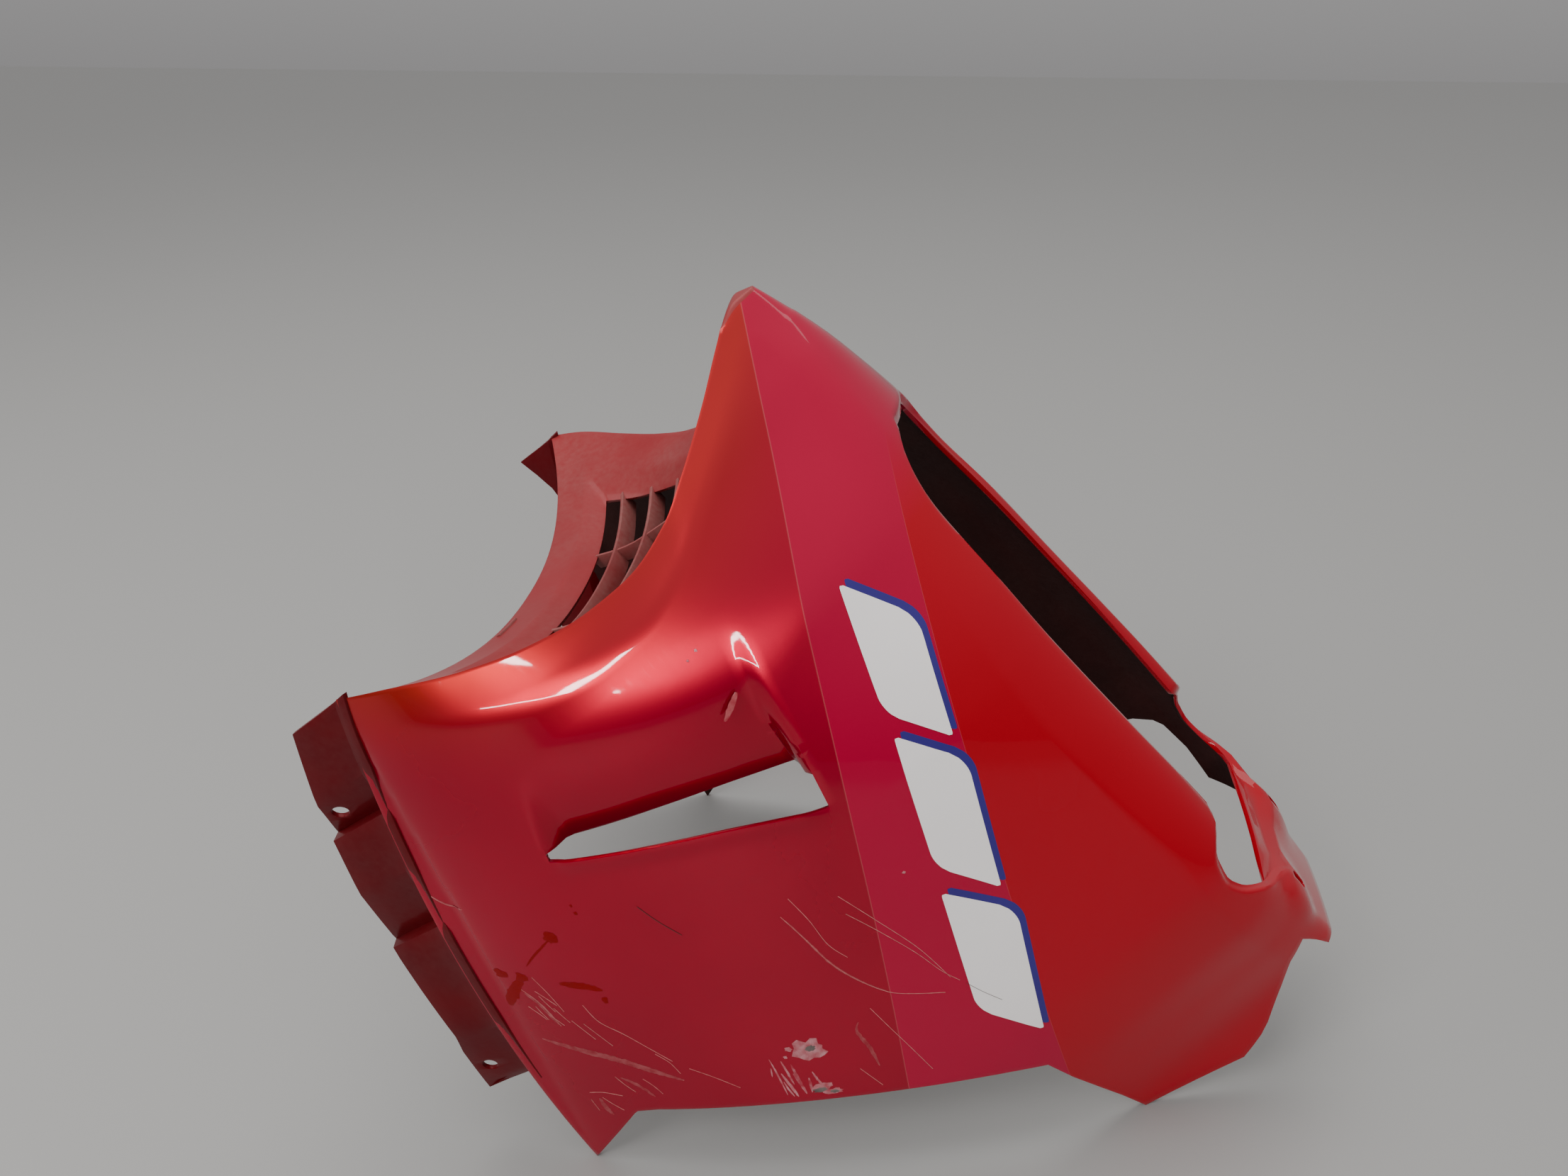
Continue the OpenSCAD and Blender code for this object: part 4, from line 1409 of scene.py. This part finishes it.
@dataclass
class Flanges(Workshop):
    """Folded flanges with stepped tabs over the two top edges."""

    station_gap: float = 6.0
    lap: float = 8.0
    fold_low: float = 1.5
    fold_high: float = 2.5
    fold_share: float = 0.55
    lean_l: float = 50.0
    drill_l: float = 16.0
    edge: float = 0.8
    edge_angle: float = 22.0

    def tab_y(self, fold: float) -> float:
        """Half width of a flange tab."""
        return self.s.half_w - self.s.flange_step - fold * self.s.tab_fold

    def hole(self, h: Tuple[float, float, int]) -> Tuple[Point, float]:
        """Centre of a flange hole on the right side, and the angle of its tab."""
        a, b = FLANGE[h[2]], FLANGE[h[2] + 1]
        near, far, run = self.tab_y(a[2]), self.tab_y(b[2]), a[0] - b[0]
        lean = self.s.flange_lean * clamp(-h[0] / self.lean_l, 0, 1)
        rise = h[1] / (self.s.flange_h * along(a[1], b[1], (a[0] - h[0]) / run))
        x = h[0] + lean * (1 - rise)
        y = -along(near, far, (a[0] - x) / run) + self.s.wall / 2
        return (h[0], y, self.shape.top_z(h[0]) + h[1]), math.atan((near - far) / run)

    def section(self, x: float, high: float, fold: float) -> List[Point]:
        """Points of the flange from the wall up to its free edge, on the left side.

        Args:
            x: Place of the free edge.
            high: Height as a share of the full height.
            fold: How far the tab is folded in, from 0 to 1.

        Returns:
            Six points.
        """
        s, sh = self.s, self.shape
        low_x = min(x, s.front_lead - 1) - s.flange_lean * clamp(-x / self.lean_l, 0, 1)
        z, y = sh.top_z(low_x), self.tab_y(fold)
        low = sh.wall_y(low_x, z - self.lap, s.front_lead - low_x) - s.wall / 2
        up, base = sh.top_z(x) + high * s.flange_h, z + self.fold_high
        points = [(low_x, low, z - self.lap), (low_x, along(low, y, self.fold_share), z - self.fold_low)]
        points.append((low_x, y, base))
        return points + [(along(low_x, x, q), y, along(base, up, q)) for q in (0.33, 0.66, 1)]

    def strip(self, side: Side) -> Part:
        """Open surface of one flange.

        Args:
            side: Which wall.

        Returns:
            Points and faces.
        """
        stations = FLANGE if side is Side.RIGHT else FLANGE_LEFT
        rows: List[List[Point]] = []
        for a, b in zip(stations, stations[1:]):
            n = max(1, math.ceil(abs(b[0] - a[0]) / self.station_gap))
            for k in range(n):
                rows.append(self.section(*(along(p, q, k / n) for p, q in zip(a, b))))
        rows.append(self.section(*stations[-1]))
        ring = len(rows[0])
        faces: Faces = []
        for i in range(len(rows) - 1):
            for k in range(ring - 1):
                a = i * ring + k
                quad = (a, a + 1, a + ring + 1, a + ring)
                faces.append(quad if side is Side.LEFT else quad[::-1])
        return [(p[0], p[1] * side.value, p[2]) for row in rows for p in row], faces

    def flange(self, side: Side) -> bpy.types.Object:
        """One flange with its holes.

        Args:
            side: Which wall.

        Returns:
            The piece.
        """
        obj = self.mesh_object(f"flange_{side.name.lower()}", self.strip(side), [Coat.FLANGE])
        self.thicken(obj)
        parts = []
        for h in FLANGE_HOLES if side is Side.RIGHT else FLANGE_HOLES[1:]:
            centre, angle = self.hole(h)
            sign = -side.value
            axis = (math.sin(angle), sign * math.cos(angle), 0.0)
            place = (centre[0], centre[1] * sign, centre[2])
            parts.append(self.rod(place, axis, self.s.flange_hole_d / 2, self.drill_l))
        self.finish_cut(obj, parts, self.edge, self.edge_angle)
        return obj

    def build(self) -> List[bpy.types.Object]:
        """Makes the right and the left flange."""
        return [self.flange(side) for side in Side]


@dataclass
class Louvres(Workshop):
    """Blades and ribs behind the opening of the arch, and the lug on its free edge."""

    blade_steps: int = 22
    rib_steps: int = 16
    lug_steps: int = 8
    overlap: float = 5.0
    side_overlap: float = 0.04
    blade_set: float = 0.75
    rib_set: float = 0.9
    rib_inset: float = 2.0
    lug_root: float = 6.0
    edge: float = 0.5

    @staticmethod
    def band(front: Sequence[Point], back: Sequence[Point], push: Point) -> Part:
        """Closed strip between a front line and a back line.

        Args:
            front: Points of the front edge.
            back: Points of the back edge.
            push: Thickness and its direction.

        Returns:
            Points and faces.
        """
        verts: List[Point] = []
        for p, q in zip(front, back):
            verts += [p, q, tuple(q[k] + push[k] for k in range(3)), tuple(p[k] + push[k] for k in range(3))]
        last = 4 * (len(front) - 1)
        faces: Faces = []
        for i in range(0, last, 4):
            for k in range(4):
                a, b = i + k, i + (k + 1) % 4
                faces.append((a, b, b + 4, a + 4))
        return verts, faces + [(3, 2, 1, 0), tuple(last + k for k in range(4))]

    def blade(self, number: int) -> Part:
        """One blade, counted from the arch's free edge."""
        s, sh, n = self.s, self.shape, self.blade_steps
        z = s.front_h - s.blade_drop - number * s.blade_pitch
        reach = sh.ridge_at(z)[1] * (GRILLE_SIDE + self.side_overlap)
        ys = [reach * t / n for t in range(-n, n + 1)]
        low = z - s.blade_t / 2
        front = [(sh.arch_at(z, y) - s.bevel_depth * self.blade_set, y, low) for y in ys]
        back = [(sh.arch_at(z, y) - s.blade_depth, y, low) for y in ys]
        return self.band(front, back, (0, 0, s.blade_t))

    def rib(self, y: float) -> Part:
        """One upright rib at a distance from the middle."""
        s, sh = self.s, self.shape
        low, high = sh.ridge(GRILLE[2])[1] - self.overlap, sh.ridge(GRILLE[1])[1] + self.overlap
        zs = [along(low, high, t / self.rib_steps) for t in range(self.rib_steps + 1)]
        left = y - s.blade_t / 2
        front = [(sh.arch_at(z, y) - s.bevel_depth * self.rib_set, left, z) for z in zs]
        back = [(sh.arch_at(z, y) - s.blade_depth + self.rib_inset, left, z) for z in zs]
        return self.band(front, back, (0, s.blade_t, 0))

    def lug(self) -> Part:
        """Small lug on the free edge of the arch."""
        s, n = self.s, self.lug_steps
        ys = [-s.lug_y + s.lug_w * (t / n - 0.5) for t in range(n + 1)]
        front = [(self.shape.arch_at(s.front_h, y) - 1, y, s.front_h - self.lug_root) for y in ys]
        back = [(p[0] - s.wall, p[1], p[2]) for p in front]
        return self.band(front, back, (0, 0, s.lug_h + self.lug_root))

    def build(self) -> List[bpy.types.Object]:
        """Makes blades, ribs and lug as one piece."""
        parts = [self.blade(k) for k in range(self.s.blade_count)]
        parts += [self.rib(y) for y in (-self.s.rib_y, self.s.rib_y)] + [self.lug()]
        obj = self.mesh_object("arch_louvres", self.join_parts(parts), [Coat.LOUVRE])
        self.turn_outward(obj)
        self.round_edges(obj, self.edge)
        self.apply(obj)
        self.join_ride(obj)
        return [obj]


@dataclass
class Decals(Workshop):
    """Plain slanted blocks on both walls, white with a blue edge."""

    radii: Tuple[float, float, float, float] = (3.0, 11.0, 3.0, 10.0)
    white_lift: float = 0.22
    blue_lift: float = 0.12
    blue_up: float = 5.5
    blue_along: float = 5.0
    columns: int = 14
    rows: int = 16
    end_rows: int = 8
    end_fine: int = 60

    @staticmethod
    def inset(dist: float, radius: float) -> float:
        """How far a rounded corner pulls the side in, at a distance from the block's end."""
        if dist >= radius:
            return 0.0
        return radius - math.sqrt(max(0.0, radius * radius - (radius - dist) ** 2))

    def patch(self, corners: Sequence[Sequence[float]], side: Side, lift: float) -> Part:
        """Slanted block with rounded corners, laid on a wall.

        Args:
            corners: Four points of the side view, in order round the block.
            side: Which wall.
            lift: Distance above the surface.

        Returns:
            Points and faces.
        """
        a, b, c, d = [Vector(p) for p in corners]
        tall = ((d - a).length + (c - b).length) / 2
        wide = ((b - a).length + (d - c).length) / 2
        ends = [k / self.end_fine for k in range(self.end_rows)]
        stops = sorted({*[k / self.rows for k in range(self.rows + 1)], *ends, *[1 - k for k in ends]})
        n, radii = self.columns, self.radii
        verts: List[Point] = []
        for t in stops:
            left, right = a.lerp(d, t), b.lerp(c, t)
            head, tail = t * tall, (1 - t) * tall
            u0 = (self.inset(tail, radii[3]) or self.inset(head, radii[0])) / wide
            u1 = 1 - (self.inset(tail, radii[2]) or self.inset(head, radii[1])) / wide
            for k in range(n + 1):
                p = left.lerp(right, along(u0, u1, k / n))
                verts.append(self.shape.on_wall(p.x, p.y, side, lift))
        faces: Faces = []
        for i in range(len(stops) - 1):
            for k in range(n):
                q = i * (n + 1) + k
                quad = (q, q + 1, q + n + 2, q + n + 1)
                faces.append(quad if side is Side.RIGHT else quad[::-1])
        return verts, faces

    def build(self) -> List[bpy.types.Object]:
        """Lays three blocks on the right wall and two on the left, whose rear is missing."""
        white, blue = [], []
        for side in Side:
            for block in DECAL_BLOCKS if side is Side.RIGHT else DECAL_BLOCKS[:-1]:
                a, b, _, d = [Vector(p) for p in block]
                push = (a - d).normalized() * self.blue_up + (b - a).normalized() * self.blue_along
                white.append(self.patch(block, side, self.white_lift))
                blue.append(self.patch([Vector(p) + push for p in block], side, self.blue_lift))
        light = self.collect("decal_blocks", white, Coat.DECAL_LIGHT)
        return [light, self.collect("decal_edges", blue, Coat.DECAL_EDGE)]


@dataclass
class Wear(Workshop):
    """Chips, scuffs, touched-up spots and scratches on the right wall."""

    rand: random.Random = field(default_factory=lambda: random.Random(11))
    sweep: Scratches = field(default_factory=Scratches)
    spot_sides: int = 18
    spot_core: float = 0.55
    spot_lift: float = 0.16
    bare_lift: float = 0.24
    stroke_lift: float = 0.1
    scuff_lift: float = 0.12
    path_gap: float = 3.0
    stroke_gap: float = 1.5
    short_count: int = 8
    pale_radius: float = 0.19
    pale_lift: float = 0.02
    dark_radius: float = 0.16
    dark_lift: float = 0.24

    def on_right(self, x: float, z: float, lift: float) -> Point:
        """Point a little outside the right wall."""
        return self.shape.on_wall(x, z, Side.RIGHT, lift)

    def blob(self, x: float, z: float, r: float, squash: float, turn: float, lift: float) -> Part:
        """Ragged spot.

        Args:
            x: Place along the fairing.
            z: Height.
            r: Radius.
            squash: Width as a share of the length.
            turn: Turn in the side view, in radians.
            lift: Distance of its middle above the surface.

        Returns:
            Points and faces.
        """
        n = self.spot_sides
        verts = [self.on_right(x, z, lift)]
        for outer in (False, True):
            for k in range(n):
                t = 2 * math.pi * k / n
                share = self.rand.uniform(0.65, 1.15) if outer else self.spot_core
                u, w = r * share * math.cos(t), r * share * math.sin(t) * squash
                px = x + u * math.cos(turn) - w * math.sin(turn)
                pz = z + u * math.sin(turn) + w * math.cos(turn)
                px = max(px, self.shape.rear(self.shape.row_of(px, pz))[0] + 1.0)
                verts.append(self.on_right(px, pz, lift * (0.4 if outer else 1)))
        faces: Faces = [(0, 1 + k, 1 + (k + 1) % n) for k in range(n)]
        faces += [(1 + k, 1 + n + k, 1 + n + (k + 1) % n, 1 + (k + 1) % n) for k in range(n)]
        return verts, faces

    @staticmethod
    def smooth_path(points: Sequence[Place], step: float) -> List[Place]:
        """Rounded path through a few places of the side view.

        Args:
            points: Places in order.
            step: Largest gap of the result, in millimetres.

        Returns:
            The finer path.
        """

        def rounded(a: float, b: float, c: float, d: float, u: float) -> float:
            """Catmull-Rom value between b and c."""
            even = 2 * b + (c - a) * u + (2 * a - 5 * b + 4 * c - d) * u * u
            return 0.5 * (even + (3 * b - a - 3 * c + d) * u**3)

        ends = [points[0], *points, points[-1]]
        out: List[Place] = []
        for a, b, c, d in zip(ends, ends[1:], ends[2:], ends[3:]):
            n = max(1, math.ceil(math.hypot(c[0] - b[0], c[1] - b[1]) / step))
            out += [tuple(rounded(a[q], b[q], c[q], d[q], k / n) for q in range(2)) for k in range(n)]
        return out + [tuple(points[-1])]

    def ribbon(self, points: Sequence[Place], width: float, lift: float) -> Part:
        """Ragged band along a path, thin at both ends.

        Args:
            points: Places of its middle line.
            width: Full width, in millimetres.
            lift: Distance above the surface.

        Returns:
            Points and faces.
        """
        path = self.smooth_path(points, self.stroke_gap)
        verts: List[Point] = []
        last = len(path) - 1
        for k, (x, z) in enumerate(path):
            a, b = path[max(0, k - 1)], path[min(last, k + 1)]
            size = math.hypot(b[0] - a[0], b[1] - a[1])
            u, w = -(b[1] - a[1]) / size, (b[0] - a[0]) / size
            full = math.sqrt(max(0.0, math.sin(math.pi * clamp(k / last, 0.02, 0.98))))
            for sign in (-1, 0, 1):
                half = sign * width / 2 * full * self.rand.uniform(0.7, 1.1)
                verts.append(self.on_right(x + u * half, z + w * half, lift * (1 if sign == 0 else 0.5)))
        corners = [3 * k + q for k in range(last) for q in (0, 1)]
        return verts, [(c, c + 1, c + 4, c + 3) for c in corners]

    def spots(self) -> List[bpy.types.Object]:
        """Chips, bare plastic, touched-up paint and scuffed bands."""
        chips = [self.blob(*spot, self.spot_lift) for spot in CHIPS]
        chips += [self.ribbon(path, width, self.stroke_lift) for path, width in CHIP_STROKES]
        pieces = [self.collect("chipped_paint", chips, Coat.CHIP)]
        bare = [self.blob(*spot, self.bare_lift) for spot in BARE]
        pieces.append(self.collect("bare_spots", bare, Coat.CORE))
        touched = [self.blob(*spot, self.spot_lift) for spot in TOUCHED]
        touched += [self.ribbon(path, width, self.stroke_lift) for path, width in DRIPS]
        pieces.append(self.collect("touched_up_paint", touched, Coat.TOUCH_UP))
        scuffs = [self.ribbon(path, width, self.scuff_lift) for path, width in SCUFFS]
        return pieces + [self.collect("scuffed_bands", scuffs, Coat.SCUFF)]

    def lines(
        self, name: str, paths: Sequence[Sequence[Place]], coat: Coat, radius: float, lift: float
    ) -> bpy.types.Object:
        """Fine lines, swept by the node group.

        Args:
            name: Name of the piece.
            paths: Places of each line.
            coat: Finish.
            radius: Radius of a line, in millimetres.
            lift: Distance above the surface, in millimetres.

        Returns:
            The piece.
        """
        verts: List[Point] = []
        edges: List[Tuple[int, int]] = []
        for path in paths:
            start = len(verts)
            verts += [self.on_right(x, z, lift) for x, z in self.smooth_path(path, self.path_gap)]
            edges += [(k, k + 1) for k in range(start, len(verts) - 1)]
        mesh = bpy.data.meshes.new(name)
        mesh.from_pydata([self.stand.point(p) for p in verts], edges, [])
        obj = bpy.data.objects.new(name, mesh)
        bpy.context.scene.collection.objects.link(obj)
        mod = obj.modifiers.new("sweep", "NODES")
        mod.node_group = self.sweep.tree
        mod[self.sweep.finish.identifier] = self.materials[coat]
        mod[self.sweep.width.identifier] = radius * MM
        self.apply(obj, 80.0)
        self.join_ride(obj)
        return obj

    def scratches(self) -> List[bpy.types.Object]:
        """Long scratches, a group of short ones near the front, and a few dark ones."""
        pale = list(LONG_SCRATCHES)
        for _ in range(self.short_count):
            x, z = self.rand.uniform(-190, -235), self.rand.uniform(326, 350)
            run = self.rand.uniform(9, 26)
            tilt = self.rand.uniform(-0.15, 0.30)
            pale.append([(x, z), (x - run / 2, z + tilt * run / 2), (x - run, z + tilt * run * 0.8)])
        light = self.lines("scratches", pale, Coat.SCRATCH, self.pale_radius, self.pale_lift)
        dark = self.lines("dark_scratches", DARK_SCRATCHES, Coat.GRIME, self.dark_radius, self.dark_lift)
        return [light, dark]

    def build(self) -> List[bpy.types.Object]:
        """Makes all signs of wear."""
        return self.spots() + self.scratches()


@dataclass(frozen=True)
class Lamp:
    """Numbers of one soft area light, in metres, watts and degrees."""

    name: str
    place: Point
    aim: Point
    size: Tuple[float, float]
    power: float
    colour: Colour
    roll: float = 0.0


MIDDLE, FRONT = (0.0, 0.0, 0.25), (0.0, -0.1, 0.35)
DAYLIGHT: Colour = (1.0, 0.98, 0.95)
LAMPS = [
    Lamp("ceiling", (-0.3, 0.5, 2.9), MIDDLE, (2.8, 1.8), 54.0, (1.0, 0.985, 0.96)),
    Lamp("front_soft", (-1.4, -1.8, 2.2), MIDDLE, (1.2, 0.8), 33.0, (1.0, 0.98, 0.96)),
    Lamp("side_fill", (-2.4, -0.6, 1.6), MIDDLE, (1.0, 1.2), 16.0, (1.0, 0.97, 0.95)),
    Lamp("window_mid", (0.75, -2.7, 1.33), FRONT, (0.06, 0.80), 16.0, DAYLIGHT),
    Lamp("window_low", (0.50, -2.7, 0.90), FRONT, (0.40, 0.04), 4.5, DAYLIGHT, 8.0),
]


@dataclass
class Studio:
    """Floor, lights, world and camera."""

    stand: Stand
    floor_half: float = 6.0
    floor_rough: float = 0.55
    floor_grain: float = 3.0
    floor_low: Colour = (0.28, 0.278, 0.275)
    floor_high: Colour = (0.31, 0.308, 0.305)
    room_low: Colour = (0.10, 0.095, 0.10)
    room_high: Colour = (0.92, 0.91, 0.90)
    room_from: float = 0.30
    room_to: float = 0.62
    room_lean: float = 0.05
    room_base: float = 0.36
    room_rise: float = 0.28
    room_strength: float = 0.9
    sensor: float = 36.0
    lens: float = 28.48
    eye: Point = (56.3, -700.0, -212.2)
    eye_right: Point = (-0.687, 0.1353, -0.7139)
    eye_ahead: Point = (-0.2611, 0.8709, 0.4163)

    def floor(self) -> bpy.types.Object:
        """Plain pale floor."""
        mesh = bpy.data.meshes.new("floor")
        r = self.floor_half
        mesh.from_pydata([(-r, -r, 0), (r, -r, 0), (r, r, 0), (-r, r, 0)], [], [(0, 1, 2, 3)])
        mat = bpy.data.materials.new("floor_pale")
        mat.use_nodes = True
        tree = mat.node_tree
        bsdf = tree.nodes["Principled BSDF"]
        noise = tree.nodes.new("ShaderNodeTexNoise")
        noise.inputs["Scale"].default_value = self.floor_grain
        ramp = tree.nodes.new("ShaderNodeValToRGB")
        for stop, colour in zip(ramp.color_ramp.elements, (self.floor_low, self.floor_high)):
            stop.color = (*colour, 1)
        tree.links.new(noise.outputs[0], ramp.inputs[0])
        tree.links.new(ramp.outputs[0], bsdf.inputs["Base Color"])
        bsdf.inputs["Roughness"].default_value = self.floor_rough
        mesh.materials.append(mat)
        obj = bpy.data.objects.new("floor", mesh)
        bpy.context.scene.collection.objects.link(obj)
        return obj

    @staticmethod
    def lamp(lamp: Lamp) -> None:
        """Adds a soft area light.

        Args:
            lamp: Its numbers.
        """
        data = bpy.data.lights.new(lamp.name, "AREA")
        data.shape = "RECTANGLE"
        data.size, data.size_y = lamp.size
        data.energy = lamp.power
        data.color = lamp.colour
        obj = bpy.data.objects.new(lamp.name, data)
        obj.location = lamp.place
        turn = (Vector(lamp.aim) - Vector(lamp.place)).to_track_quat("-Z", "Y").to_matrix()
        obj.rotation_euler = (turn @ Matrix.Rotation(math.radians(lamp.roll), 3, "Z")).to_euler()
        bpy.context.scene.collection.objects.link(obj)

    def lights(self) -> None:
        """Soft daylight from above with a bright window, one lamp for each entry."""
        for lamp in LAMPS:
            self.lamp(lamp)

    def world(self) -> None:
        """Pale room, darker low down, that the paint reflects."""
        world = bpy.data.worlds.new("studio")
        bpy.context.scene.world = world
        world.use_nodes = True
        tree = world.node_tree
        back = tree.nodes["Background"]
        coords = tree.nodes.new("ShaderNodeTexCoord")
        parts = tree.nodes.new("ShaderNodeSeparateXYZ")
        ramp = tree.nodes.new("ShaderNodeValToRGB")
        low, high = ramp.color_ramp.elements
        low.position, high.position = self.room_from, self.room_to
        low.color, high.color = (*self.room_low, 1), (*self.room_high, 1)
        lean = tree.nodes.new("ShaderNodeMath")
        lean.operation = "MULTIPLY_ADD"
        lean.inputs[1].default_value = self.room_lean
        lean.inputs[2].default_value = self.room_base
        rise = tree.nodes.new("ShaderNodeMath")
        rise.operation = "MULTIPLY_ADD"
        rise.inputs[1].default_value = self.room_rise
        tree.links.new(coords.outputs["Generated"], parts.inputs[0])
        tree.links.new(parts.outputs[1], lean.inputs[0])
        tree.links.new(parts.outputs[2], rise.inputs[0])
        tree.links.new(lean.outputs[0], rise.inputs[2])
        tree.links.new(rise.outputs[0], ramp.inputs[0])
        tree.links.new(ramp.outputs[0], back.inputs[0])
        back.inputs[1].default_value = self.room_strength

    def camera(self) -> None:
        """Camera at the photograph's viewing angle, from the solved geometry."""
        place = self.stand.point(self.eye)
        right = self.stand.vector(self.eye_right).normalized()
        ahead = self.stand.vector(self.eye_ahead).normalized()
        up = right.cross(ahead).normalized()
        right = ahead.cross(up).normalized()
        data = bpy.data.cameras.new("camera")
        data.sensor_width = self.sensor
        data.lens = self.lens
        data.clip_start = 0.05
        obj = bpy.data.objects.new("camera", data)
        turn = Matrix((right, up, -ahead)).transposed().to_4x4()
        obj.matrix_world = Matrix.Translation(place) @ turn
        bpy.context.scene.collection.objects.link(obj)
        bpy.context.scene.camera = obj


def main() -> None:
    """Builds the sub-assemblies in order, then the stage, and reports each piece."""
    sizes = Sizes()
    stand = Stand(sizes)
    shared = (sizes, Shape(sizes), stand, Materials(sizes))
    for kind in (Shell, Flanges, Louvres, Decals, Wear):
        for piece in kind(*shared).build():
            log.info("%s: %s, %d faces", kind.__name__, piece.name, len(piece.data.polygons))
    studio = Studio(stand)
    studio.floor()
    studio.lights()
    studio.world()
    studio.camera()
    log.info("Studio: floor, %d lamps, world and camera", len(LAMPS))


if __name__ == "__main__":
    main()
